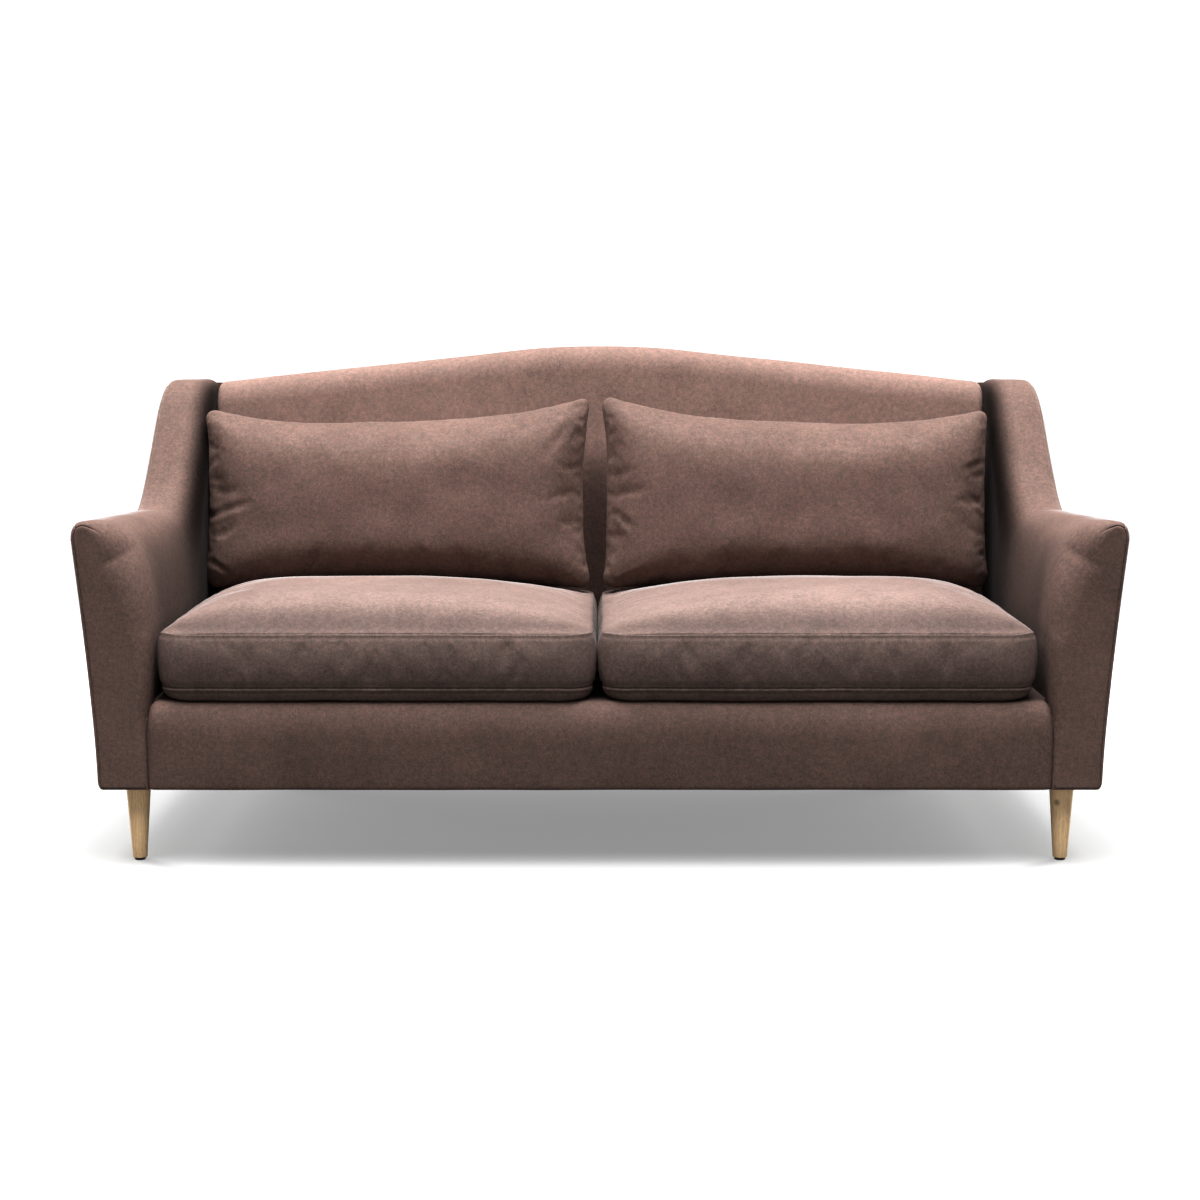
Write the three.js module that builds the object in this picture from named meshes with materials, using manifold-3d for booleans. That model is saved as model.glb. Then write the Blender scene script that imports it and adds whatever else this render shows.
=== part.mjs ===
// Camelback sofa with flared, swept arms, two boxed seat cushions and two knife-edge back pillows.
// Millimetres, +Z up, front facing -Y. The origin is on the floor, under the middle of the sofa.
// Inside the sofa group the Y of a piece is its depth behind the front plane of the arms.

import * as THREE from 'three';
import { mergeVertices } from 'three/addons/utils/BufferGeometryUtils.js';
import Module from 'manifold-3d';

const wasm = await Module();
wasm.setup();

// Overall sizes
const sofaWidth = 1900;
const sofaDepth = 900;
const sofaHeight = 932;

// Clearances
const fit = 0.3; // between pieces that touch
const overrun = 30; // how far a cutting solid runs past what it cuts
const weldDistance = 0.001;

// Glides and legs
const glideHeight = 4;
const glideRadius = 10;
const glideChamfer = 1;
const legHeight = 135.5;
const legTopRadius = 22.5;
const legFootRadius = 13;
const legChamfer = 2;
const legInset = 56; // from the front and the rear to a leg's axis
const legSideInset = 64; // from an arm's outer side to a leg's axis

// Leg bolts
const boltRadius = 4;
const boltHeadRadius = 7.5;
const boltHeadHeight = 5.5;
const boltReach = 38; // how far a bolt runs down into its leg
const boltClearance = 0.4;

// Timber frame
const timber = 27; // thickness of every board in the seat frame and the arms
const backTimber = 25; // thickness of the boards that lie in the raked plane of the back
const dustCoverThickness = 1.5;
const railHeight = 128;
const rearRailHeight = 90;
const bottomRailHeight = 78;
const centreRailHeight = 108;
const cornerBlockHeight = 46;
const cornerBlockLeg = 96;
const cornerBlockTip = 14;
const armRailWidth = 36;
const armRailThickness = 28;
const armRailDrop = 14;
const postDrop = 32; // from the inside of the arm's top down to the end of its rear post
const linerRailBottom = 330;
const linerRailTop = 385;
const camelRailDrop = 162; // from the peak of the camel line down to the underside of its rail

// Seat springs and deck
const springCount = 8;
const springEndRoom = 169.5; // from the side rails to the middle of the outermost springs
const springWire = 2; // half the thickness of the wire
const springHalfWidth = 25;
const springBars = 13;
const deckRise = 30; // from the top of the rails to the top of the deck
const deckThickness = 16;
const deckSideGap = 1;

// Front border, the padded cover of the front rail
const borderThickness = 15;
const borderLip = 61;
const borderRound = 13;

// Arms
const armFlare = 38; // how far the arm's outer side leans out from its foot to its top
const flarePower = 1.35; // above 1, so that the outer side stands steeper at its foot than at its top
const armTipRearInset = 35; // how far the top of the arm's rear end lies inside the front's
const armFootWidth = 92;
const armBelly = 9; // how far the arm's inner side swells out over the seat
const armFrontHeight = 629;
const armFall = 17; // how far the top falls from the front to the start of the sweep
const armRearDrop = 71; // from the peak of the camel line down to the arm's rear end
const sweepLength = 340;
const sweepRearRun = 100; // from the end of the sweep to the rear of the sofa
const bellyRun = 13; // from the end of the roll down to the full swell of the inner side
const armPad = 14;
const armSideGap = 1.2; // between the flared side's padding and the upright boards behind it
const armFrontRound = 13;
const armRearRound = 6;
const footRoundWidth = 6; // of the rounded lower edge of the outer side
const footRoundHeight = 16;
const tipWidth = 25;
const tipDrop = 34;
const frontTopFlat = 2; // the level strip of the top between its outer edge and its roll
const frontRollDrop = 199;
const rearTopFlat = 33;
const rearRollDrop = 60;
const outsideArmThickness = 8;
const outsideArmSetback = 3;

// Back
const backGap = 2; // between the back's ends and the arms
const backDepth = 195; // from the inside back to the rear, at the height of the deck
const rake = THREE.MathUtils.degToRad(7.6);
const camelEndRoom = 14; // from an arm to where the camel line has fallen by camelDrop
const camelDrop = 75;
const camelCrownHalf = 185; // half the width of the rounded top of the hump
const backPad = 35;
const backEndRound = 26;
const backTopWidth = 42;
const backTopDrop = 52;
const backRearRound = 28;
const outsideBackThickness = 8;
const outsideBackEdge = 8; // how far the panel stays inside the outline of the sofa

// Seat cushions
const seatCushionFront = 2.5;
const seatCushionRearRoom = 4.5;
const cushionSideRoom = 11;
const cushionCorner = 52;
const cushionDrawn = 6; // how far the seams lie inside the swell of the border
const lowSeamRise = 26;
const highSeamRise = 125;
const seatCrown = 60;
const crownPeakDepth = 290;
const crownRearRoom = 65; // from the end of the crown to the inside back
const cushionGap = 6;
const gapOffset = -5; // the gap between the cushions lies a little left of the middle
const coverThickness = 8; // the cover with its wadding wrap
const seatZipLength = 560;
const zipHeight = 8;
const zipThickness = 3;

// Back pillows
const pillowSideRoom = 9;
const pillowHeight = 376;
const pillowRise = 10.8; // from the seat cushions' upper seam to the pillows' lower corners
const pillowFrontSwell = 142;
const pillowRearSwell = 44;
const pillowGap = 4;
const pillowSideDraw = 17;
const pillowTopDip = 32;
const pillowBottomDip = 8;
const pillowEdge = 20; // how far the fill stays inside the edge seam
const pillowZipLength = 520;
const pillowZipHeight = 11;

// Heights and depths that follow from the sizes above
const legBase = glideHeight + fit;
const legTop = legBase + legHeight;
const skirtHeight = legTop + fit;
const frameBottom = skirtHeight + dustCoverThickness + fit;
const railTop = frameBottom + railHeight;
const deckTop = railTop + deckRise;
const deckBottom = deckTop - deckThickness;
const armFootHalf = sofaWidth / 2 - armFlare; // from the middle to the arm's outer side, at its foot
const armTipRear = sofaWidth / 2 - armTipRearInset; // the same at the top of the arm's rear end
const armInnerFoot = armFootHalf - armFootWidth;
const armInner = armInnerFoot - armBelly;
const armLowHeight = armFrontHeight - armFall;
const armRearHeight = sofaHeight - armRearDrop;
const armBellyHeight = armLowHeight - frontRollDrop - bellyRun;
const sweepEnd = sofaDepth - sweepRearRun;
const sweepStart = sweepEnd - sweepLength;
const legHalfSpan = armFootHalf - legSideInset;
const rearLegDepth = sofaDepth - legInset;
const shellRear = sofaDepth - outsideBackThickness - fit;
const frameRear = shellRear - fit;
const frameFace = borderThickness + fit; // the front of the timber behind the border
const frontRailRear = frameFace + timber;
const armSideOuter = armFootHalf - armPad - armSideGap; // the outer side of the boards in the arm
const armSideInner = armSideOuter - timber;
const railHalf = armSideInner - fit; // half the length of what fits between the arms' boards
const postInner = armInnerFoot + armPad + armSideGap; // the inner side of a front post's foot
const backHalf = armInner - backGap;
const camelHalf = armInner - camelEndRoom;
const camelRailBottom = sofaHeight - camelRailDrop;
const seatDepth = sofaDepth - backDepth;
const cushionBottom = deckTop + fit;
const seatCushionWidth = armInner - cushionGap / 2 - cushionSideRoom;
const seatCushionDepth = seatDepth - seatCushionFront - seatCushionRearRoom;
const crownEndDepth = seatDepth - crownRearRoom;
const pillowWidth = armInner - pillowGap / 2 - pillowSideRoom;
const pillowBase = cushionBottom + highSeamRise + pillowRise;

// Materials
const fabricColour = 0x7d675f;
const paint = (color, roughness, metalness = 0) =>
  new THREE.MeshStandardMaterial({ color, roughness, metalness });
const finishes = {
  velvet: () => paint(fabricColour, 0.85),
  oak: () => paint(0xcba06c, 0.5),
  timber: () => paint(0xc8aa7c, 0.75),
  steel: () => paint(0x9aa0a6, 0.35, 0.9),
  foam: () => paint(0xefe4c2, 0.95),
  fibre: () => paint(0xf2f0ea, 0.95),
  lining: () => paint(0x232326, 0.9),
  zip: () => paint(0x3b322f, 0.6),
  plastic: () => paint(0x3a3632, 0.45),
};

// Solids: a closed geometry to and from a solid that can be cut and joined

function solidOf(geometry) {
  const bare = geometry.clone();
  bare.deleteAttribute('normal');
  bare.deleteAttribute('uv');
  const merged = mergeVertices(bare, weldDistance);
  const vertProperties = new Float32Array(merged.attributes.position.array);
  const triVerts = new Uint32Array(merged.index.array);
  return new wasm.Manifold(new wasm.Mesh({ numProp: 3, vertProperties, triVerts }));
}

function geometryOf(solid) {
  const mesh = solid.getMesh();
  const geometry = new THREE.BufferGeometry();
  geometry.setAttribute('position', new THREE.BufferAttribute(mesh.vertProperties, mesh.numProp));
  geometry.setIndex(new THREE.BufferAttribute(mesh.triVerts, 1));
  geometry.computeVertexNormals();
  return geometry;
}

function cut(geometry, cutters) {
  const result = cutters.reduce((solid, cutter) => solid.subtract(solidOf(cutter)), solidOf(geometry));
  return geometryOf(result);
}

function join(geometries) {
  const [first, ...others] = geometries.map(solidOf);
  return geometryOf(others.reduce((solid, other) => solid.add(other), first));
}

// A box from its lowest to its highest corner
function block([x0, y0, z0], [x1, y1, z1]) {
  const box = new THREE.BoxGeometry(x1 - x0, y1 - y0, z1 - z0);
  return box.translate((x0 + x1) / 2, (y0 + y1) / 2, (z0 + z1) / 2);
}

// An upright cylinder from one height to another
function rod(radius, bottom, top, sides) {
  const cylinder = new THREE.CylinderGeometry(radius, radius, top - bottom, sides);
  return cylinder.rotateX(Math.PI / 2).translate(0, 0, (bottom + top) / 2);
}

// A board whose outline is seen from the front, from one depth to another
function frontBoard(points, near, far) {
  const outline = new THREE.Shape(points.map(([x, z]) => new THREE.Vector2(x, z)));
  const board = new THREE.ExtrudeGeometry(outline, { depth: far - near, bevelEnabled: false });
  return board.rotateX(Math.PI / 2).translate(0, far, 0);
}

// A board whose outline is seen from the side, as depths and heights, from one X to another
function sideBoard(points, left, right) {
  const outline = new THREE.Shape(points.map(([y, z]) => new THREE.Vector2(y, z)));
  const board = new THREE.ExtrudeGeometry(outline, { depth: right - left, bevelEnabled: false });
  board.rotateX(Math.PI / 2).rotateZ(Math.PI / 2);
  return board.translate(left, 0, 0);
}

// A board whose outline is seen from above, from one height to another
function flatBoard(points, bottom, top) {
  const outline = new THREE.Shape(points.map(([x, y]) => new THREE.Vector2(x, y)));
  const board = new THREE.ExtrudeGeometry(outline, { depth: top - bottom, bevelEnabled: false });
  return board.translate(0, 0, bottom);
}

// A closed skin over rings of points, each end closed by a fan from a middle point
function loft(rings, startPoint, endPoint) {
  const count = rings[0].length;
  const points = rings.flat();
  const start = startPoint ?? middleOf(rings[0]);
  const end = endPoint ?? middleOf(rings[rings.length - 1]);
  const startIndex = points.push(start) - 1;
  const endIndex = points.push(end) - 1;
  const lastRing = (rings.length - 1) * count;
  const faces = [];
  for (let i = 0; i < count; i += 1) {
    const next = (i + 1) % count;
    faces.push(startIndex, next, i);
    faces.push(endIndex, lastRing + i, lastRing + next);
    for (let ring = 0; ring < rings.length - 1; ring += 1) {
      const a = ring * count + i;
      const b = ring * count + next;
      faces.push(a, b, b + count, a, b + count, a + count);
    }
  }
  return facingOut(points, faces);
}

function middleOf(ring) {
  return ring.reduce((sum, point) => sum.add(point), new THREE.Vector3()).divideScalar(ring.length);
}

// Turns every face over when the volume comes out negative, so that the faces point out
function facingOut(points, faces) {
  const cross = new THREE.Vector3();
  let volume = 0;
  for (let i = 0; i < faces.length; i += 3) {
    const [a, b, c] = faces.slice(i, i + 3).map((index) => points[index]);
    volume += cross.crossVectors(b, c).dot(a);
  }
  const geometry = new THREE.BufferGeometry().setFromPoints(points);
  geometry.setIndex(volume < 0 ? faces.slice().reverse() : faces);
  geometry.computeVertexNormals();
  return geometry;
}

function mirrored(geometry) {
  const copy = geometry.clone().scale(-1, 1, 1);
  const corners = copy.index ? Array.from(copy.index.array) : [...copy.attributes.position.array.keys()];
  const count = copy.index ? corners.length : copy.attributes.position.count;
  copy.setIndex(corners.slice(0, count).reverse());
  copy.computeVertexNormals();
  return copy;
}

// Points of a quadratic curve in one plane, without its first point
function curvePoints(from, control, to, steps) {
  const vector = ([a, b]) => new THREE.Vector2(a, b);
  const curve = new THREE.QuadraticBezierCurve(vector(from), vector(control), vector(to));
  return curve.getPoints(steps).slice(1).map((point) => [point.x, point.y]);
}

const mix = (from, to, share) => from + (to - from) * share;

// Outlines of the arm

// Height of the arm's top: it falls a little from the front, then sweeps up to the back
function armTop(depth) {
  const fall = Math.min(depth / sweepStart, 1);
  const sweep = THREE.MathUtils.smoothstep(depth, sweepStart, sweepEnd);
  return mix(armFrontHeight, armLowHeight, fall) + (armRearHeight - armLowHeight) * sweep;
}

// How far the rolled top has changed from its front shape to its rear shape
function rollShare(depth) {
  return THREE.MathUtils.smoothstep(depth, sweepStart / 2, sweepEnd);
}

function armTip(depth) {
  const taper = Math.max(depth - armFrontRound, 0) / (sofaDepth - armFrontRound);
  return mix(sofaWidth / 2, armTipRear, taper);
}

// The flared outer side: X at a depth and a height
function armOuter(depth, height) {
  const flareTop = armTop(depth) - tipDrop;
  const rise = Math.max((height - skirtHeight) / (flareTop - skirtHeight), 0);
  return mix(armFootHalf, armTip(depth), rise ** flarePower);
}

// Shares of the flare's height at which its curve is drawn
const flareShares = [0.25, 0.5, 0.75];

// The flared side between its lower edge and its top, drawn in by an inset, upwards
function flareCurve(depth, inset) {
  const heights = flareShares.map((share) => mix(skirtHeight, armTop(depth) - tipDrop, share));
  return heights.map((height) => [armOuter(depth, height) - inset, height]);
}

// The rounded lower edge of the outer side, drawn in by an inset, from its underside upwards
function footEdge(depth, inset) {
  const side = (height) => [armOuter(depth, height) - inset, height];
  const [corner, height] = side(skirtHeight);
  const start = [corner - footRoundWidth, height];
  return [start, ...curvePoints(start, [corner, height], side(skirtHeight + footRoundHeight), 3)];
}

// Section of the right arm at one depth, drawn in by an inset, from its outer foot over the top
function armSection(depth, inset, foot) {
  const top = armTop(depth) - inset;
  const tip = armTip(depth) - inset;
  const share = rollShare(depth);
  const topFlat = mix(frontTopFlat, rearTopFlat, share);
  const rollDrop = mix(frontRollDrop, rearRollDrop, share) - inset;
  const inner = armInner + inset;
  const shoulder = [tip, armTop(depth) - tipDrop];
  const tipEnd = [armTip(depth) - tipWidth, top];
  const rollStart = [tipEnd[0] - topFlat, top];
  return [
    ...foot,
    ...flareCurve(depth, inset),
    shoulder,
    ...curvePoints(shoulder, [tip, top], tipEnd, 3),
    rollStart,
    ...curvePoints(rollStart, [inner, top], [inner, top - rollDrop], 6),
    [inner, armBellyHeight],
    [armInnerFoot + inset, deckTop],
    [armInnerFoot + inset, foot[0][1]],
  ];
}

// A square lower corner of the outer side at any height
const footCorner = (depth, inset, height) => [[armOuter(depth, height) - inset, height]];

const atDepth = (depth) => ([x, z]) => new THREE.Vector3(x, depth, z);

// Shares of the arm's length at which its section is drawn, closest together in the sweep
const armStationShares = [0.05, 0.28, 0.44, 0.51, 0.56, 0.605, 0.65, 0.69, 0.73, 0.775, 0.82, 0.87, 0.93];
const armStations = armStationShares.map((share) => share * sofaDepth);

// Quarter-round edge of a loft: pairs of distance from the end and inset
function edgeRound(radius, steps) {
  const angles = Array.from({ length: steps + 1 }, (_, i) => (i / steps) * (Math.PI / 2));
  return angles.map((angle) => [radius * (1 - Math.cos(angle)), radius * (1 - Math.sin(angle))]);
}

// Outlines of the back

// Height of the camel line: a rounded hump whose ends run on as straight shoulders
function camelTop(x) {
  const slope = camelDrop / (camelHalf - camelCrownHalf / 2);
  const out = Math.abs(x);
  const crown = Math.min(out, camelCrownHalf);
  return sofaHeight - slope * (crown ** 2 / camelCrownHalf / 2 + out - crown);
}

// Depth of the raked inside back at a height, and of the timber behind its padding
const backFace = (height) => seatDepth + (height - deckTop) * Math.tan(rake);
const frameFront = (height) => backFace(height) + backPad + fit;

function backSection(x, inset) {
  const top = camelTop(x) - inset;
  const front = backFace(top) + inset;
  const shoulder = [backFace(top - backTopDrop) + inset, top - backTopDrop];
  const crest = [front + backTopWidth, top];
  const rearCrest = [shellRear - backRearRound, top];
  return [
    [backFace(deckBottom) + inset, deckBottom],
    shoulder,
    ...curvePoints(shoulder, [front, top], crest, 4),
    rearCrest,
    ...curvePoints(rearCrest, [shellRear, top], [shellRear, top - backRearRound], 3),
    [shellRear, deckBottom],
  ];
}

// Moves what is drawn in the plane of the back frame, heights along its Z, to its raked place
function raked(geometry) {
  return geometry.rotateX(-rake).translate(0, frameFront(frameBottom), frameBottom);
}

const alongRake = (height) => (height - frameBottom) / Math.cos(rake);

// Group and pieces

const sofa = new THREE.Group();
sofa.position.y = -sofaDepth / 2;

function addPiece(name, geometry, finish) {
  const mesh = new THREE.Mesh(geometry, finishes[finish]());
  mesh.name = name;
  sofa.add(mesh);
  return mesh;
}

function addPair(name, rightGeometry, finish) {
  addPiece(`${name}_right`, rightGeometry, finish);
  addPiece(`${name}_left`, mirrored(rightGeometry), finish);
}

// Legs with their glides and bolts

const legPlaces = [
  ['front_left', -legHalfSpan, legInset],
  ['front_right', legHalfSpan, legInset],
  ['rear_left', -legHalfSpan, rearLegDepth],
  ['rear_right', legHalfSpan, rearLegDepth],
];

function legGeometry() {
  const profile = [
    [0, legBase],
    [legFootRadius - legChamfer, legBase],
    [legFootRadius, legBase + legChamfer],
    [legTopRadius, legTop - legChamfer],
    [legTopRadius - legChamfer, legTop],
    [0, legTop],
  ];
  const points = profile.map(([radius, height]) => new THREE.Vector2(radius, height));
  const turned = new THREE.LatheGeometry(points, 24).rotateX(Math.PI / 2);
  const bore = rod(boltRadius + boltClearance, legTop - boltReach - fit, legTop + overrun, 12);
  return cut(turned, [bore]);
}

function glideGeometry() {
  const points = [
    [0, 0],
    [glideRadius - glideChamfer, 0],
    [glideRadius, glideChamfer],
    [glideRadius, glideHeight],
    [0, glideHeight],
  ].map(([radius, height]) => new THREE.Vector2(radius, height));
  return new THREE.LatheGeometry(points, 16).rotateX(Math.PI / 2);
}

function boltGeometry() {
  const headBase = frameBottom + cornerBlockHeight + fit;
  const head = rod(boltHeadRadius, headBase, headBase + boltHeadHeight, 6);
  const shank = rod(boltRadius, legTop - boltReach, headBase + boltHeadHeight / 2, 12);
  return join([head, shank]);
}

// A hole for a leg bolt, through what lies between two heights
function boltHole(bottom, top) {
  return rod(boltRadius + boltClearance, bottom - overrun, top + overrun, 12);
}

function cornerBlockGeometry([, x, y]) {
  const side = Math.sign(x);
  const isFront = y < sofaDepth / 2;
  const corner = isFront ? frontRailRear + fit : frameRear - timber - fit;
  const inward = isFront ? 1 : -1;
  const leg = cornerBlockLeg;
  const tip = cornerBlockTip;
  const steps = [[0, 0], [leg, 0], [leg, tip], [tip, leg], [0, leg]];
  const points = steps.map(([dx, dy]) => [side * (railHalf - dx), corner + inward * dy]);
  const triangle = flatBoard(points, frameBottom, frameBottom + cornerBlockHeight);
  return cut(triangle, [boltHole(frameBottom, frameBottom + cornerBlockHeight).translate(x, y, 0)]);
}

for (const place of legPlaces) {
  const [corner, x, y] = place;
  addPiece(`leg_${corner}`, legGeometry(), 'oak').position.set(x, y, 0);
  addPiece(`foot_glide_${corner}`, glideGeometry(), 'plastic').position.set(x, y, 0);
  addPiece(`leg_bolt_${corner}`, boltGeometry(), 'steel').position.set(x, y, 0);
  addPiece(`corner_block_${corner}`, cornerBlockGeometry(place), 'timber');
}

// Seat frame

const rearRailFront = frameFront(railTop);
const rearRailRear = rearRailFront + timber;
const bottomRailFront = frameRear - timber;

addPiece(
  'front_seat_rail',
  block([-postInner + fit, frameFace, frameBottom], [postInner - fit, frontRailRear, railTop]),
  'timber',
);
addPiece(
  'rear_seat_rail',
  block([-railHalf, rearRailFront, railTop - rearRailHeight], [railHalf, rearRailRear, railTop]),
  'timber',
);
addPiece(
  'rear_bottom_rail',
  block([-railHalf, bottomRailFront, frameBottom], [railHalf, frameRear, frameBottom + bottomRailHeight]),
  'timber',
);
addPiece(
  'centre_seat_rail',
  block(
    [-timber / 2, frontRailRear + fit, frameBottom],
    [timber / 2, rearRailFront - fit, frameBottom + centreRailHeight],
  ),
  'timber',
);

const sideRailOutline = [
  [frontRailRear + fit, frameBottom],
  [frameFront(frameBottom) - fit, frameBottom],
  [frameFront(railTop) - fit, railTop],
  [frontRailRear + fit, railTop],
];
addPair('side_seat_rail', sideBoard(sideRailOutline, armSideInner, armSideOuter), 'timber');

// Arm frames: a front post cut to the arm's outline, a raked rear post and a swept top rail

const postTop = armRearHeight - armPad - postDrop;

function frontPostGeometry() {
  const inset = armPad + armSideGap;
  const outline = armSection(frontRailRear, inset, footCorner(frontRailRear, inset, frameBottom));
  return frontBoard(outline, frameFace, frontRailRear);
}

function backPostOutline() {
  return [
    [frameFront(frameBottom), frameBottom],
    [frameRear, frameBottom],
    [frameRear, postTop],
    [frameFront(postTop), postTop],
  ];
}

const armRailTop = (depth) => armTop(depth) - armPad - armRailDrop;
const armRailBottom = (depth) => armRailTop(depth) - armRailThickness;

// Depth at which the underside of the swept rail meets the raked rear post
function armRailEnd() {
  const steps = 12;
  let depth = sweepEnd;
  for (let step = 0; step < steps; step += 1) {
    depth = frameFront(armRailBottom(depth)) - fit;
  }
  return depth;
}

function armTopRailGeometry() {
  const start = frontRailRear + fit;
  const end = armRailEnd();
  const inside = armStations.filter((depth) => depth > start && depth < end - timber);
  const rings = [start, ...inside, end].map((depth) => {
    const outer = armOuter(depth, armRailBottom(depth)) - armPad - armSideGap;
    const corners = [
      [outer - armRailWidth, armRailBottom(depth)],
      [outer, armRailBottom(depth)],
      [outer, armRailTop(depth)],
      [outer - armRailWidth, armRailTop(depth)],
    ];
    return corners.map(atDepth(depth));
  });
  return loft(rings);
}

addPair('front_post', frontPostGeometry(), 'timber');
addPair('back_post', sideBoard(backPostOutline(), armSideInner, armSideOuter), 'timber');
addPair('arm_top_rail', armTopRailGeometry(), 'timber');

// Back frame: the camel rail and the liner rail lie in the raked plane, before a centre upright

// Shares of the half width at which the camel line is drawn
const camelStationShares = [0, 0.06, 0.12, 0.18, 0.23, 0.5, 0.75];

function camelStations(half) {
  const right = camelStationShares.map((share) => share * half);
  const left = right.slice(1).map((x) => -x).reverse();
  return [...left, ...right];
}

function camelRailGeometry(grow) {
  const half = railHalf;
  const bottom = alongRake(camelRailBottom) - grow;
  const rise = (x) => alongRake(camelTop(x) - backPad - fit) + grow;
  const line = [half, ...camelStations(half).reverse(), -half].map((x) => [x, rise(x)]);
  const outline = [[-half, bottom], [half, bottom], ...line];
  return raked(frontBoard(outline, -grow, backTimber + grow));
}

function linerRailGeometry(grow) {
  const low = [-railHalf, -grow, alongRake(linerRailBottom) - grow];
  const high = [railHalf, backTimber + grow, alongRake(linerRailTop) + grow];
  return raked(block(low, high));
}

function centreUprightGeometry() {
  const behindRails = (height) => frameFront(height) + backTimber / Math.cos(rake) + fit;
  const top = camelTop(0) - backPad - fit - backTimber;
  const outline = [
    [rearRailRear + fit, frameBottom],
    [bottomRailFront - fit, frameBottom],
    [bottomRailFront - fit, frameBottom + bottomRailHeight + fit],
    [frameRear, frameBottom + bottomRailHeight + fit],
    [frameRear, top],
    [behindRails(top), top],
    [behindRails(railTop), railTop],
    [rearRailRear + fit, railTop],
  ];
  return sideBoard(outline, -timber / 2, timber / 2);
}

addPiece('camel_top_rail', camelRailGeometry(0), 'timber');
addPiece('back_liner_rail', linerRailGeometry(0), 'timber');
addPiece('back_centre_upright', centreUprightGeometry(), 'timber');

// Sinuous springs from the front rail to the rear rail, with the padded deck on them

const springBase = railTop + fit + springWire;
const springPeak = deckBottom - fit - springWire;

function springGeometry() {
  const front = mix(frameFace, frontRailRear, 0.5);
  const rear = mix(rearRailFront, rearRailRear, 0.5);
  const bends = [];
  for (let bar = 0; bar < springBars; bar += 1) {
    const along = bar / (springBars - 1);
    const side = bar % 2 === 0 ? 1 : -1;
    const depth = mix(front, rear, along);
    const height = mix(springBase, springPeak, Math.sin(along * Math.PI));
    bends.push(new THREE.Vector3(-side * springHalfWidth, depth, height));
    bends.push(new THREE.Vector3(side * springHalfWidth, depth, height));
  }
  const path = new THREE.CatmullRomCurve3(bends, false, 'centripetal');
  const wire = [
    [-springWire, 0],
    [0, -springWire],
    [springWire, 0],
    [0, springWire],
  ].map(([a, b]) => new THREE.Vector2(a, b));
  const steps = (springBars - 1) * 4;
  return new THREE.ExtrudeGeometry(new THREE.Shape(wire), { steps, extrudePath: path });
}

const outerSpring = railHalf - springEndRoom;
for (let i = 0; i < springCount; i += 1) {
  const x = mix(-outerSpring, outerSpring, i / (springCount - 1));
  addPiece(`seat_spring_${i + 1}`, springGeometry(), 'steel').position.x = x;
}

const deckHalf = armInnerFoot - deckSideGap;
addPiece(
  'seat_deck',
  block([-deckHalf, borderLip + fit, deckBottom], [deckHalf, backFace(deckBottom) - fit, deckTop]),
  'foam',
);

// Front border: an angle over the front rail, its top edge rounded

function frontBorderGeometry() {
  const face = borderThickness;
  const round = [[0, deckTop - borderRound], [0, deckTop], [borderRound, deckTop]];
  const outline = [
    [0, skirtHeight],
    [face, skirtHeight],
    [face, deckBottom],
    [borderLip, deckBottom],
    [borderLip, deckTop],
    round[2],
    ...curvePoints(round[2], round[1], round[0], 5),
  ];
  return sideBoard(outline, -armInnerFoot + deckSideGap, armInnerFoot - deckSideGap);
}

addPiece('front_border', frontBorderGeometry(), 'velvet');

// Arms: a padded shell over the arm frame, with the outside arm panel let into its flared side.
// The roll narrows and the flare closes as the top sweeps up, which takes the most skill here.

const loftAlong = (depths, section) => loft(depths.map((depth) => section(depth).map(atDepth(depth))));

function outsideArmGeometry() {
  return loftAlong([outsideArmSetback, ...armStations, shellRear], (depth) => {
    const top = armTop(depth) - tipDrop;
    const low = armOuter(depth, skirtHeight);
    const high = armOuter(depth, top);
    const inside = outsideArmThickness;
    return [
      [low - inside, skirtHeight],
      ...footEdge(depth, 0),
      ...flareCurve(depth, 0),
      [high, top],
      [high - inside, top],
      ...flareCurve(depth, inside).reverse(),
    ];
  });
}

// The rebate that the outside arm panel is let into, past it on its open sides
function outsideArmRebate() {
  const depths = [outsideArmSetback - fit, ...armStations, shellRear + fit];
  return loftAlong(depths, (depth) => {
    const top = armTop(depth) - tipDrop + fit;
    const low = armOuter(depth, skirtHeight);
    const high = armOuter(depth, top);
    const inside = outsideArmThickness + fit;
    return [
      [low - inside, skirtHeight],
      [low - inside, skirtHeight - overrun],
      [low + overrun, skirtHeight - overrun],
      [high + overrun, top],
      [high - inside, top],
      ...flareCurve(depth, inside).reverse(),
    ];
  });
}

// The arm's skin, its front edges well rounded and its rear edges a little
function armSkin() {
  const front = edgeRound(armFrontRound, 3);
  const rear = edgeRound(armRearRound, 1).map(([run, inset]) => [shellRear - run, inset]);
  const stations = [...front, ...armStations.map((depth) => [depth, 0]), ...rear.reverse()];
  const section = ([depth, inset]) => armSection(depth, inset, footEdge(depth, inset));
  return loft(stations.map((station) => section(station).map(atDepth(station[0]))));
}

function armShellGeometry() {
  const hollowFront = frameFace - fit;
  const hollowBottom = skirtHeight - overrun;
  const hollow = loftAlong([hollowFront, ...armStations, shellRear + overrun], (depth) =>
    armSection(depth, armPad, footCorner(depth, armPad, hollowBottom)));
  const belowSeat = block(
    [armInner - overrun, hollowFront, hollowBottom],
    [postInner, shellRear + overrun, railTop + fit],
  );
  return cut(armSkin(), [
    outsideArmRebate(),
    hollow,
    belowSeat,
    camelRailGeometry(fit),
    linerRailGeometry(fit),
  ]);
}

addPair('arm_upholstery', armShellGeometry(), 'velvet');
addPair('outside_arm_panel', outsideArmGeometry(), 'velvet');

// Inside back: a padded shell with the camel line, open behind, and the panel that closes the rear

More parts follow.
